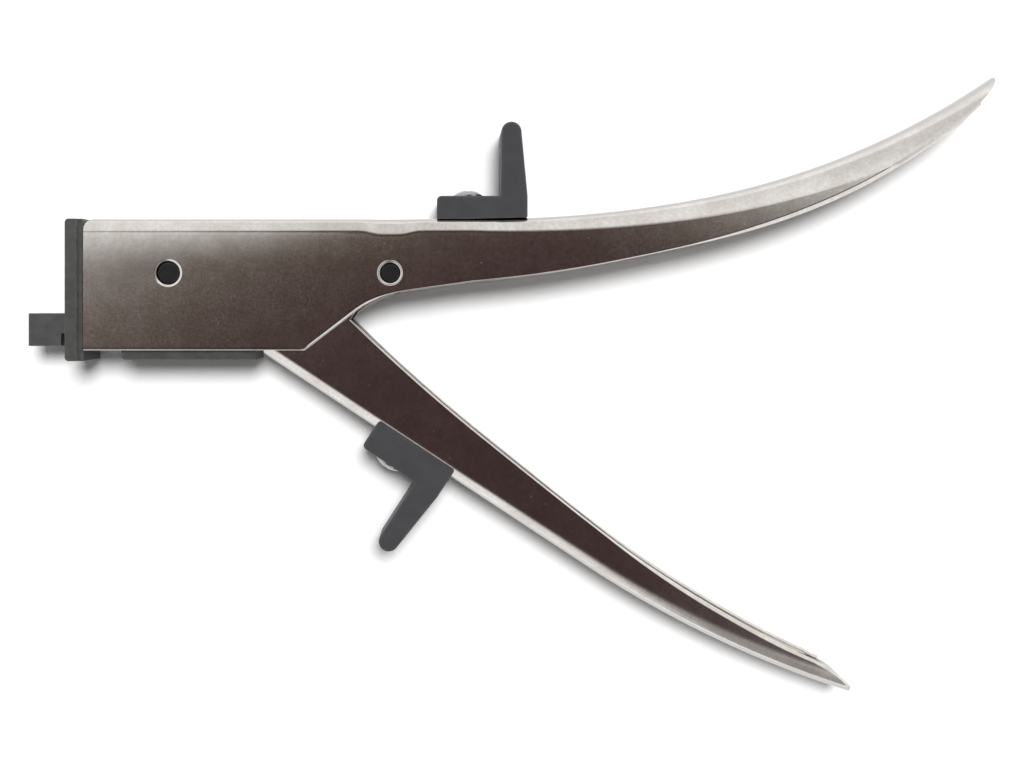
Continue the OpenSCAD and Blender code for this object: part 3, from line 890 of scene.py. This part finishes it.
@dataclass
class ReturnSpring:
    """Torsion spring round the pivot: one leg bears on the body and the other hooks into the lever.

    Attributes:
        wire: Diameter of the wire.
        radius: Radius of the coil at the middle of the wire.
        turns: Full turns.
        pitch: Rise with each turn.
        leg_angle: Slope of the leg that bears on the body.
        leg_rise: Height of the end of that leg over the pivot axis.
        hook: Distance and direction of the hooked end from the pivot axis.
        middle: Height of the middle of the coil over the resting plane.
        hook_top: Height of the end of the hook.
        sides: Facets round the wire.
        rings: Rings of faces in one turn.
        leg_rings: Rings of faces along the leg.
        bend_rings: Rings of faces round the hook's bend.
    """

    wire: float = 0.9
    radius: float = 3.3
    turns: int = 3
    pitch: float = 1.4
    leg_angle: float = 25.0
    leg_rise: float = 8.55
    hook: Point = SPRING_HOOK
    middle: float = BODY_WIDTH / 2
    hook_top: float = 11.0
    sides: int = 12
    rings: int = 40
    leg_rings: int = 8
    bend_rings: int = 6

    @property
    def reach(self) -> float:
        """Straight length from the coil to the hook."""
        return math.sqrt(self.hook[0] ** 2 - self.radius**2)

    @property
    def ends(self) -> Point:
        """Angles at which the coil starts and ends."""
        end = self.hook[1] - math.degrees(math.atan2(self.reach, self.radius)) + 360 * self.turns
        return 90 + self.leg_angle, end

    @property
    def levels(self) -> Point:
        """Heights of the coil's two ends."""
        start, end = self.ends
        rise = self.pitch * (end - start) / 360
        return self.middle - rise / 2, self.middle + rise / 2

    def route(self) -> list[Vector]:
        """Middle line of the wire, from the leg on the body to the end of the hook."""
        start, end = self.ends
        low, high = self.levels
        first = polar((0, 0), self.radius, start)
        length = (self.leg_rise - first[1]) / math.sin(math.radians(self.leg_angle))
        steps = round((end - start) / 360 * self.rings)
        rows = self.leg_rings
        leg = [Vector((*polar(first, length * (1 - k / rows), start - 90), low)) for k in range(rows)]
        places = arc((0, 0), self.radius, start, end, steps)
        coil = [Vector((*place, low + (high - low) * k / steps)) for k, place in enumerate(places)]
        last = polar((0, 0), self.radius, end)
        bend = []
        for k in range(self.bend_rings + 1):
            turn = math.pi / 2 * k / self.bend_rings
            run = self.reach - self.wire * (1 - math.sin(turn))
            bend.append(Vector((*polar(last, run, end + 90), high + self.wire * (1 - math.cos(turn)))))
        tail = Vector((*polar(last, self.reach, end + 90), self.hook_top))
        return [*leg, *coil, *bend, tail]

    def build(self) -> Piece:
        """Round wire swept along its route without twist."""
        route = self.route()
        angles = [2 * math.pi * i / self.sides for i in range(self.sides)]
        side = UP
        loops = []
        for k, here in enumerate(route):
            ahead = (route[min(k + 1, len(route) - 1)] - route[max(k - 1, 0)]).normalized()
            side = (side - ahead * side.dot(ahead)).normalized()
            across = ahead.cross(side)
            spokes = [side * math.cos(a) + across * math.sin(a) for a in angles]
            loops.append([here + spoke * self.wire / 2 for spoke in spokes])
        return solid("return_spring_coil", loops)


# Finishes


class Graph:
    """Nodes and links of one shader tree."""

    def __init__(self, tree: Tree) -> None:
        """Work on a tree."""
        self.tree = tree

    def add(self, kind: str, inputs: dict | None = None, **settings: object) -> bpy.types.Node:
        """New node with its settings and inputs.

        Args:
            kind: Kind of node.
            inputs: Values of its inputs, or outputs of other nodes to link to them, by name or number.
            **settings: Other properties of the node.

        Returns:
            The node.
        """
        node = self.tree.nodes.new(kind)
        for name, value in settings.items():
            setattr(node, name, value)
        self.feed(node, inputs or {})
        return node

    def feed(self, node: bpy.types.Node, inputs: dict) -> None:
        """Set inputs of a node, by name or number, to values or to the outputs of other nodes."""
        for name, value in inputs.items():
            if isinstance(value, Socket):
                self.tree.links.new(value, node.inputs[name])
            else:
                node.inputs[name].default_value = value

    def ramp(self, value: Socket, low: object, high: object, to: Point = (0.0, 1.0)) -> Socket:
        """Value mapped smoothly from one range to another."""
        node = self.add("ShaderNodeMapRange", {0: value, 1: low, 2: high, 3: to[0], 4: to[1]},
                        interpolation_type="SMOOTHSTEP")
        return node.outputs[0]

    def math(self, operation: str, *values: object) -> Socket:
        """Result of a sum, product or the like."""
        return self.add("ShaderNodeMath", dict(enumerate(values)), operation=operation).outputs[0]

    def mix(self, share: Socket, first: Socket | Triple, second: Socket | Triple) -> Socket:
        """Mix of two colours, each fixed or varying."""
        low, high = (color if isinstance(color, Socket) else (*color, 1.0) for color in (first, second))
        return self.add("ShaderNodeMix", {0: share, 6: low, 7: high}, data_type="RGBA").outputs[2]

    def noise(self, vector: Socket, scale: Socket, detail: float = 3.0, rough: float = 0.6) -> Socket:
        """Noise in space."""
        inputs = {"Vector": vector, "Scale": scale, "Detail": detail, "Roughness": rough}
        return self.add("ShaderNodeTexNoise", inputs).outputs[0]


class Effect:
    """Shader groups that several finishes share, each built once.

    Attributes:
        SETS: Slants in radians and stretches of the two sets of scratches.
        ONSET: Change of the noise over which a scratch comes in.
        WORN: Agreement of the rounded and true normals between which an edge turns pale.
        BROKEN: Noise between which the pale edges are broken up.
        DRAWN: Scale of the grinding lines along their length, as a share of that across it.
    """

    SETS = ((0.12, 26.0), (0.9, 40.0))
    ONSET = 0.06
    WORN = (0.99, 0.86)
    BROKEN = (0.32, 0.62)
    DRAWN = 0.04

    @staticmethod
    def group(name: str, inputs: dict[str, float | None], build: Callable) -> Tree:
        """Group with a vector or number for each input, and one value put out.

        Args:
            name: Name of the group.
            inputs: Defaults of its inputs by name, None for a vector.
            build: Function that takes the graph and the outputs of the inputs and returns the value.

        Returns:
            The group.
        """
        found = bpy.data.node_groups.get(name)
        if found:
            return found
        tree = bpy.data.node_groups.new(name, "ShaderNodeTree")
        for label, default in inputs.items():
            kind = "NodeSocketVector" if default is None else "NodeSocketFloat"
            socket = tree.interface.new_socket(label, in_out="INPUT", socket_type=kind)
            if default is not None:
                socket.default_value = default
        tree.interface.new_socket("Value", in_out="OUTPUT", socket_type="NodeSocketFloat")
        graph = Graph(tree)
        given = graph.add("NodeGroupInput").outputs
        graph.add("NodeGroupOutput", {"Value": build(graph, given)})
        return tree

    @classmethod
    def grain(cls) -> Tree:
        """Even speckle of a size, spread round one half."""

        def build(graph: Graph, given: Sockets) -> Socket:
            """Noise with its contrast drawn out."""
            noise = graph.noise(given["Vector"], given["Scale"])
            low = graph.math("SUBTRACT", 0.5, given["Spread"])
            high = graph.math("ADD", 0.5, given["Spread"])
            return graph.ramp(noise, low, high)

        return cls.group("grain", {"Vector": None, "Scale": 1000.0, "Spread": 0.2}, build)

    @classmethod
    def scratches(cls) -> Tree:
        """Fine scratches from handling, most of them along the tool."""

        def build(graph: Graph, given: Sockets) -> Socket:
            """Two sets of stretched noise at a slant to each other."""
            masks = []
            end = graph.math("ADD", given["Onset"], cls.ONSET)
            for slant, stretch in cls.SETS:
                aim = {"Vector": given["Vector"], "Rotation": (0, 0, slant)}
                aimed = graph.add("ShaderNodeMapping", aim).outputs[0]
                longer = graph.add("ShaderNodeMapping", {"Vector": aimed, "Scale": (1 / stretch, 1, 1)})
                noise = graph.noise(longer.outputs[0], given["Scale"], detail=2.0)
                masks.append(graph.ramp(noise, given["Onset"], end))
            return graph.math("MAXIMUM", *masks)

        return cls.group("scratches", {"Vector": None, "Scale": 2500.0, "Onset": 0.7}, build)

    @classmethod
    def wear_and_highlight(cls) -> Tree:
        """Paler edges broken up by noise: rubbed edges, and on the dark steel also a painted edge highlight.
        """

        def build(graph: Graph, given: Sockets) -> Socket:
            """Where the rounded normal leaves the true one, there is an edge."""
            round_edge = graph.add("ShaderNodeBevel", {"Radius": given["Width"]}, samples=4)
            true = graph.add("ShaderNodeNewGeometry")
            dot = graph.add("ShaderNodeVectorMath", {0: round_edge.outputs[0], 1: true.outputs["Normal"]},
                            operation="DOT_PRODUCT")
            edge = graph.ramp(dot.outputs["Value"], *cls.WORN)
            noise = graph.noise(given["Vector"], given["Scale"])
            return graph.math("MULTIPLY", edge, graph.ramp(noise, *cls.BROKEN))

        return cls.group("edge_wear_and_highlight", {"Vector": None, "Width": 0.0003, "Scale": 900.0}, build)

    @classmethod
    def lines(cls) -> Tree:
        """Parallel lines of a ground face, across the tool's length."""

        def build(graph: Graph, given: Sockets) -> Socket:
            """Noise drawn out across the length."""
            scale = (1, cls.DRAWN, cls.DRAWN)
            drawn = graph.add("ShaderNodeMapping", {"Vector": given["Vector"], "Scale": scale})
            return graph.noise(drawn.outputs[0], given["Scale"])

        return cls.group("grinding_lines", {"Vector": None, "Scale": 4000.0}, build)


class Paint:
    """One material in the making: its graph, its coordinates and its Principled shader."""

    def __init__(self, name: str, color: Sequence[float], **sockets: object) -> None:
        """New material.

        Args:
            name: Name of the material.
            color: Base colour before any variation.
            **sockets: Plain values of the shader's sockets, spaces in their names as underscores.
        """
        self.material = bpy.data.materials.new(name)
        self.material.use_nodes = True
        self.material.diffuse_color = (*color, 1.0)
        self.graph = Graph(self.material.node_tree)
        self.shader = self.material.node_tree.nodes["Principled BSDF"]
        self.place = self.graph.add("ShaderNodeTexCoord").outputs["Object"]
        self.set("Base Color", (*color, 1.0))
        for name, value in sockets.items():
            self.set(name.replace("_", " "), value)

    def set(self, socket: str, value: object) -> None:
        """Set a socket of the shader, or link it to a varying value."""
        self.graph.feed(self.shader, {socket: value})

    def effect(self, tree: Tree, **values: object) -> Socket:
        """Place a shared effect with its own values."""
        inputs = {"Vector": self.place, **values}
        return self.graph.add("ShaderNodeGroup", inputs, node_tree=tree).outputs["Value"]

    def grain(self, scale: float, spread: float) -> Socket:
        """Speckle of a scale and spread."""
        return self.effect(Effect.grain(), Scale=scale, Spread=spread)

    def scratches(self, scale: float, onset: float) -> Socket:
        """Scratches of a scale, from a level of noise on."""
        return self.effect(Effect.scratches(), Scale=scale, Onset=onset)

    def clouded(self, mask: Socket, color: Triple, share: float) -> Socket:
        """Colour that falls to a share of itself where a mask is low."""
        return self.graph.mix(mask, tuple(share * part for part in color), color)

    def relief(self, depths: Iterable[tuple[Socket, float]]) -> None:
        """Bump from several heights, each with its depth in millimetres."""
        normal = None
        for height, depth in depths:
            inputs = {"Height": height, "Distance": depth * MM, "Strength": 1.0}
            if normal is not None:
                inputs["Normal"] = normal
            normal = self.graph.add("ShaderNodeBump", inputs).outputs[0]
        self.set("Normal", normal)


@dataclass(frozen=True)
class NickelPlate:
    """Bright nickel over pressed sheet: mottled reflections, pits, handling scratches and a painted shade at
    grazing angles.

    Attributes:
        bright: Colour of the clean plate.
        dull: Colour of its cloudy places.
        stain: Colour of its fine mottling.
        spot: Colour of its specks.
        rim: Colour of a painted shade where the surface faces away from view, in place of the dark
            reflection of the shaded floor beside the tool.
        rough: Least and greatest roughness.
        cloud: Scale and spread of the cloudy places.
        wave: Scale and spread of the slow waves.
        pit: Scale and spread of the pits.
        mottle: Scale and spread of the mottling.
        speck: Scale and spread of the specks.
        scratch: Scale of the scratches, and the noise at which they come in.
        depths: Depths of waves, pits and scratches, in millimetres.
        hazy: Shares of pits and scratches in the roughness.
        stained: Strength of the mottling.
        spotted: Strength of the specks.
        thinning: Power that thins the specks out.
        grit: Roughness that the specks add.
        painted_rim_shade_span: Levels of the grazing view between which the painted rim shade comes in.
    """

    bright: Triple = (0.83, 0.805, 0.775)
    dull: Triple = (0.7, 0.665, 0.625)
    stain: Triple = (0.5, 0.455, 0.415)
    spot: Triple = (0.9, 0.88, 0.85)
    rim: Triple = (0.5, 0.49, 0.48)
    rough: Point = (0.14, 0.2)
    cloud: Point = (160.0, 0.22)
    wave: Point = (300.0, 0.3)
    pit: Point = (3200.0, 0.14)
    mottle: Point = (1300.0, 0.2)
    speck: Point = (2200.0, 0.27)
    scratch: Point = (3000.0, 0.7)
    depths: Triple = (0.0016, 0.0002, 0.0005)
    hazy: Point = (0.6, 0.4)
    stained: float = 0.27
    spotted: float = 0.6
    thinning: float = 26.0
    grit: float = 0.12
    painted_rim_shade_span: Point = (0.36, 0.62)

    def make(self, name: str) -> bpy.types.Material:
        """The material, under a name."""
        paint = Paint(name, self.bright, Metallic=1.0)
        graph = paint.graph
        sizes = (self.cloud, self.wave, self.pit, self.mottle, self.speck)
        cloud, wave, pits, mottle, specks = (paint.grain(*size) for size in sizes)
        lines = paint.scratches(*self.scratch)
        specks = graph.math("POWER", specks, self.thinning)
        facing = graph.add("ShaderNodeLayerWeight", {"Blend": 0.5}).outputs["Facing"]
        tone = graph.mix(cloud, self.dull, self.bright)
        tone = graph.mix(graph.math("MULTIPLY", mottle, self.stained), tone, self.stain)
        # Painted shade: the colour darkens where the surface faces away from view, standing in for the
        # reflected floor shade beside the tool.
        tone = graph.mix(graph.ramp(facing, *self.painted_rim_shade_span), tone, self.rim)
        paint.set("Base Color", graph.mix(graph.math("MULTIPLY", specks, self.spotted), tone, self.spot))
        haze = (graph.math("MULTIPLY", mask, share) for mask, share in zip((pits, lines), self.hazy))
        rough = graph.ramp(graph.math("ADD", *haze), 0.0, 1.0, self.rough)
        paint.set("Roughness", graph.math("ADD", rough, graph.math("MULTIPLY", specks, self.grit)))
        paint.relief(zip((wave, pits, lines), self.depths))
        return paint.material


@dataclass(frozen=True)
class DarkSteel:
    """Blackened or hardened steel, paler along its edges: partly rubbed bare, partly a painted edge
    highlight.

    Attributes:
        color: Colour of the clean steel.
        worn_and_lit_edge: Colour of its paler edges, partly rubbed bare and partly a painted highlight.
        metallic: How far it is metallic.
        rough: Least and greatest roughness.
        edge: Width of the paler edges, in millimetres.
        ground: Depth of its grinding lines, in millimetres, or 0 for none.
        cloud: Scale and spread of its cloudy places.
        darker: Share of the colour that is left there.
        fine: Scale and spread of its fine grain.
        grit: Depth of that grain, in millimetres.
    """

    color: Triple
    worn_and_lit_edge: Triple
    metallic: float
    rough: Point
    edge: float = 0.25
    ground: float = 0.0
    cloud: Point = (420.0, 0.25)
    darker: float = 0.72
    fine: Point = (5200.0, 0.3)
    grit: float = 0.002

    def make(self, name: str) -> bpy.types.Material:
        """The material, under a name."""
        paint = Paint(name, self.color, Metallic=self.metallic)
        graph = paint.graph
        cloud, fine = paint.grain(*self.cloud), paint.grain(*self.fine)
        wear_and_highlight = paint.effect(Effect.wear_and_highlight(), Width=self.edge * MM)
        base = paint.clouded(cloud, self.color, self.darker)
        # Paler edges: partly rubbed bare, partly a painted highlight like light caught on the broken edges.
        paint.set("Base Color", graph.mix(wear_and_highlight, base, self.worn_and_lit_edge))
        paint.set("Roughness", graph.ramp(fine, 0.0, 1.0, self.rough))
        heights = [(fine, self.grit)]
        if self.ground:
            heights.append((paint.effect(Effect.lines()), self.ground))
        paint.relief(heights)
        return paint.material


@dataclass(frozen=True)
class BrightMetal:
    """Plated or drawn small metal parts.

    Attributes:
        color: Colour of the metal.
        rough: Least and greatest roughness.
        fine: Scale and spread of its fine grain.
        darker: Share of the colour that is left in the grain.
        scratch: Scale of its scratches, and the noise at which they come in.
        depths: Depths of grain and scratches, in millimetres.
    """

    color: Triple
    rough: Point
    fine: Point = (2600.0, 0.25)
    darker: float = 0.8
    scratch: Point = (5000.0, 0.66)
    depths: Point = (0.002, 0.001)

    def make(self, name: str) -> bpy.types.Material:
        """The material, under a name."""
        paint = Paint(name, self.color, Metallic=1.0)
        fine, lines = paint.grain(*self.fine), paint.scratches(*self.scratch)
        paint.set("Base Color", paint.clouded(fine, self.color, self.darker))
        paint.set("Roughness", paint.graph.ramp(lines, 0.0, 1.0, self.rough))
        paint.relief(zip((fine, lines), self.depths))
        return paint.material


@dataclass(frozen=True)
class MouldedPlastic:
    """Black moulded plastic with a fine matt texture, a little paler where hands rub it.

    Attributes:
        color: Colour of the plastic.
        rubbed: Colour of its rubbed edges.
        rough: Least and greatest roughness.
        shine: Level of its mirror reflection.
        edge: Width of the rubbed edges, in millimetres.
        patch: Scale of the noise that breaks them up.
        rubbing: Strength of the rubbing.
        cloud: Scale and spread of its cloudy places.
        darker: Share of the colour that is left there.
        fine: Scale and spread of its texture.
        grit: Depth of that texture, in millimetres.
    """

    color: Triple = (0.054, 0.053, 0.057)
    rubbed: Triple = (0.095, 0.095, 0.1)
    rough: Point = (0.48, 0.66)
    shine: float = 0.45
    edge: float = 0.6
    patch: float = 600.0
    rubbing: float = 0.7
    cloud: Point = (260.0, 0.3)
    darker: float = 0.8
    fine: Point = (4200.0, 0.3)
    grit: float = 0.012

    def make(self, name: str) -> bpy.types.Material:
        """The material, under a name."""
        paint = Paint(name, self.color, Specular_IOR_Level=self.shine)
        graph = paint.graph
        cloud, fine = paint.grain(*self.cloud), paint.grain(*self.fine)
        wear_and_highlight = paint.effect(Effect.wear_and_highlight(), Width=self.edge * MM, Scale=self.patch)
        base = paint.clouded(cloud, self.color, self.darker)
        paint.set("Base Color", graph.mix(graph.math("MULTIPLY", wear_and_highlight, self.rubbing), base, self.rubbed))
        paint.set("Roughness", graph.ramp(fine, 0.0, 1.0, self.rough))
        paint.relief([(fine, self.grit)])
        return paint.material


FINISHES = {
    Slot.NICKEL: NickelPlate(),
    # The second colour of each dark steel is its paler edges: partly rubbed bare, partly a painted
    # highlight.
    Slot.OXIDE: DarkSteel((0.112, 0.114, 0.11), (0.24, 0.24, 0.235), 0.55, (0.38, 0.55)),
    Slot.TOOL: DarkSteel((0.12, 0.12, 0.122), (0.34, 0.34, 0.34), 0.5, (0.3, 0.42), ground=0.004),
    Slot.PIN: DarkSteel((0.02, 0.019, 0.021), (0.16, 0.155, 0.15), 0.4, (0.3, 0.42)),
    Slot.WIRE: BrightMetal((0.45, 0.45, 0.47), (0.22, 0.4)),
    Slot.ZINC: BrightMetal((0.4, 0.41, 0.4), (0.25, 0.42)),
    Slot.PLASTIC: MouldedPlastic(),
}


# Studio


@dataclass(frozen=True)
class Studio:
    """Pale floor, soft light and the camera over the tool.

    Attributes:
        floor_color: Colour of the floor.
        floor_half: Half the width of the floor, in metres.
        floor_drop: Depth of the floor under the resting plane, in metres.
        pale: Light of the surroundings.
        dim: Light of the dark ceiling straight over the tool.
        amber: Warm light of the ceiling towards the window.
        skew: How much more the way to the window leads along +Y than along -X.
        least_rise: Least height of a direction that its slope towards the window is reckoned with.
        haze: Slopes between which the ceiling grows warm.
        window: Slopes between which the ceiling goes over into the window.
        bar: Side slope at which the window is dimmest.
        pane: Change of that slope over which it brightens.
        shine: Its share of the full light there and beyond.
        rise: Distances below the zenith between which the ceiling turns into the walls.
        glow: Brightness of the walls near the floor, as a share of the window's, ahead and to the sides.
        flank: Distances to the side between which the walls grow brighter.
        fill: Strength of the surroundings as a light on matt surfaces.
        key_power: Strength of the lamp.
        key_from: Direction that its light comes from.
        key_spread: Angle that the lamp fills, in degrees.
        camera_place: Place of the camera, in metres.
        sensor: Width of the camera's sensor, in millimetres.
        lens: Focal length, in millimetres.
        near: Nearest distance that the camera sees, in metres.
        shift: Shift of the frame, as shares of its width.
    """

    floor_color: Triple = (1.0, 1.0, 1.0)
    floor_half: float = 12.0
    floor_drop: float = 0.0002
    pale: Triple = (1.0, 1.0, 1.0)
    dim: Triple = (0.058, 0.034, 0.034)
    amber: Triple = (0.102, 0.072, 0.053)
    skew: float = 2.0
    least_rise: float = 0.05
    haze: Point = (0.05, 0.32)
    window: Point = (0.23, 0.74)
    bar: float = -0.06
    pane: float = 0.2
    shine: Point = (0.76, 1.0)
    rise: Point = (0.03, 0.28)
    glow: Point = (0.32, 1.0)
    flank: Point = (0.06, 0.36)
    fill: float = 0.3
    key_power: float = 2.95
    key_from: Triple = (0.13, 0.32, 1.0)
    key_spread: float = 20.0
    camera_place: Triple = (0.0329, -0.0062, 0.2442)
    sensor: float = 36.0
    lens: float = 42.32
    near: float = 0.005
    shift: Point = (0.0605, -0.0771)

    def lay_floor(self) -> None:
        """Plain pale floor that takes the tool's shadow."""
        paint = Paint("pale_floor", self.floor_color, Roughness=0.9, Specular_IOR_Level=0.1)
        reach = self.floor_half
        corners = [(-reach, -reach), (reach, -reach), (reach, reach), (-reach, reach)]
        mesh = bpy.data.meshes.new("floor")
        mesh.from_pydata([(x, y, -self.floor_drop) for x, y in corners], [], [(0, 1, 2, 3)])
        floor = placed("floor", mesh)
        mesh.materials.append(paint.material)

    def surroundings(self, graph: Graph) -> Socket:
        """Light by direction: a dark ceiling, pale walls and a window to one side."""
        toward = graph.add("ShaderNodeTexCoord").outputs["Generated"]
        x, y, z = graph.add("ShaderNodeSeparateXYZ", {0: toward}).outputs
        slant = graph.math("SUBTRACT", graph.math("MULTIPLY", y, self.skew), x)
        slope = graph.math("DIVIDE", slant, graph.math("MAXIMUM", z, self.least_rise))
        beside = graph.math("ABSOLUTE", graph.math("SUBTRACT", x, self.bar))
        panes = graph.ramp(beside, 0.0, self.pane, to=self.shine)
        window = graph.math("MULTIPLY", graph.ramp(slope, *self.window), panes)
        down = graph.ramp(graph.math("SUBTRACT", 1.0, z), *self.rise)
        sides = graph.ramp(graph.math("ABSOLUTE", x), *self.flank, to=self.glow)
        walls = graph.math("MULTIPLY", down, sides)
        ceiling = graph.mix(graph.ramp(slope, *self.haze), self.dim, self.amber)
        return graph.mix(graph.math("MAXIMUM", window, walls), ceiling, self.pale)

    def hang_light(self) -> None:
        """Pale surroundings, dark straight overhead, and one soft lamp."""
        world = bpy.data.worlds.new("studio")
        bpy.context.scene.world = world
        world.use_nodes = True
        graph = Graph(world.node_tree)
        light = self.surroundings(graph)
        ray = graph.add("ShaderNodeLightPath").outputs
        seen = graph.math("MAXIMUM", ray["Is Camera Ray"], ray["Is Glossy Ray"])
        seen = graph.math("MAXIMUM", seen, ray["Is Transmission Ray"])
        strength = graph.ramp(seen, 0.0, 1.0, (self.fill, 1.0))
        graph.feed(world.node_tree.nodes["Background"], {"Color": light, "Strength": strength})
        lamp = bpy.data.lights.new("key", "SUN")
        lamp.energy = self.key_power
        lamp.angle = math.radians(self.key_spread)
        key = placed("key", lamp)
        key.rotation_euler = (-Vector(self.key_from)).to_track_quat("-Z", "Y").to_euler()
        key.visible_glossy = False

    def set_camera(self) -> None:
        """Camera that looks straight down on the tool."""
        data = bpy.data.cameras.new("camera")
        data.sensor_width = self.sensor
        data.lens = self.lens
        data.shift_x, data.shift_y = self.shift
        data.clip_start = self.near
        camera = placed("camera", data)
        camera.location = self.camera_place
        bpy.context.scene.camera = camera

    def build(self) -> None:
        """Everything round the tool."""
        self.lay_floor()
        self.hang_light()
        self.set_camera()
        bpy.context.scene.view_settings.view_transform = "Standard"


# The whole tool


@dataclass
class Nibbler:
    """The whole tool: new pieces on their bodies, and finishes on every node.

    Attributes:
        frame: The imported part.
        broken: Width of the broken edges of the construction solids, in millimetres.
    """

    frame: dict
    broken: dict[Slot, float] = field(default_factory=lambda: {
        Slot.OXIDE: 0.16, Slot.TOOL: 0.12, Slot.PIN: 0.08, Slot.ZINC: 0.08})

    def __post_init__(self) -> None:
        """Make the finishes once, and read the pivot's place."""
        self.materials = {slot: finish.make(slot.value) for slot, finish in FINISHES.items()}
        hinge = next(j for j in self.frame["joints"] if j["type"] == "hinge")
        self.pivot = Vector((hinge["pos_m"][0], hinge["pos_m"][1], 0))

    def dress(self, piece: Piece, slot: Slot) -> None:
        """Give an object one finish."""
        piece.data.materials.clear()
        piece.data.materials.append(self.materials[slot])

    def settle(self, piece: Piece, slot: Slot, node: str) -> None:
        """Bring a new piece from millimetres to its place, and let it stand for its node."""
        piece.data.transform(Matrix.Translation(self.pivot) @ Matrix.Scale(MM, 4))
        shade(piece)
        self.dress(piece, slot)
        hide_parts(node)
        LOG.info("%s stands for %s: %d faces", piece.name, node, len(piece.data.polygons))

    def make_handles(self) -> None:
        """Both pressed channels."""
        upper = UpperHandle(width=BODY_WIDTH, low=0.0, side=-1, start=(-59.2, UPPER_BACK), straight=75.2,
                            arcs=((43.0, 240.0), (65.2, 156.0)), body=75.2, stop_screw=15.1,
                            tip_slant=6.2, tip_power=1.3, sheet=Sheet(edge=0.17, inner_edge=0.17),
                            tip_round=3.6, fullness=1.3, rim=1.0)
        lower = LowerHandle(width=LEVER_WIDTH, low=1.65, side=1, start=(-13.2, LOWER_BACK), straight=77.0,
                            arcs=((57.2, 210.0),), body=45.0, stop_screw=20.0, tip_slant=5.4,
                            tip_power=1.6, sheet=Sheet(bend=2.4, tip_bend=3.5, inner_edge=0.55),
                            tip_edge=0.55)
        for handle, node, body in ((upper, "upper_handle", Body.FRAME), (lower, "lower_handle", Body.LEVER)):
            piece = handle.build()
            self.settle(piece, Slot.NICKEL, node)
            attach(piece, body.value)

    def make_stops(self) -> None:
        """Both hand stops."""
        middle = BODY_WIDTH / 2
        upper = HandStop("upper_stop_moulding", Vector((9.0, UPPER_BACK, middle)), heel=0.27)
        lower = HandStop("lower_stop_moulding", Vector((13.9, LOWER_BACK, middle)), angle=REST_ANGLE,
                         flip=True, wrap=1.6)
        for stop, node, body in ((upper, "upper_stop", Body.FRAME), (lower, "lower_stop", Body.LEVER)):
            piece = stop.build(Sheet(), LEVER_WIDTH)
            self.settle(piece, Slot.PLASTIC, node)
            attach(piece, body.value)

    def make_spring(self) -> None:
        """The return spring round the pivot, between the body and the lever, built at rest."""
        spring = ReturnSpring()
        piece = spring.build()
        self.settle(piece, Slot.WIRE, "return_spring")
        low, high = (self.pivot + Vector((0, 0, z * MM)) for z in spring.levels)
        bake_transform(piece)
        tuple(low)
        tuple(high)

    def dress_nodes(self) -> None:
        """Finishes and broken edges for the solids that keep their shape."""
        slots = {row["node"]: Slot(row["material_slot"]) for row in self.frame["record"]["subparts"]}
        for name, node in self.frame["nodes"].items():
            if node.hide_render:
                continue
            slot = slots[name]
            self.dress(node, slot)
            soften(node, self.broken[slot])
            LOG.info("%s has the finish %s", name, slot.value)

    def build(self) -> None:
        """All pieces, then the finishes of the other nodes."""
        self.make_handles()
        self.make_stops()
        self.make_spring()
        self.dress_nodes()


def main() -> None:
    """Load the part, dress it and set it in the studio."""
    logging.basicConfig(level=logging.INFO, format="%(name)s: %(message)s")
    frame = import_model()
    Nibbler(frame).build()
    Studio().build()


if __name__ == "__main__":
    main()
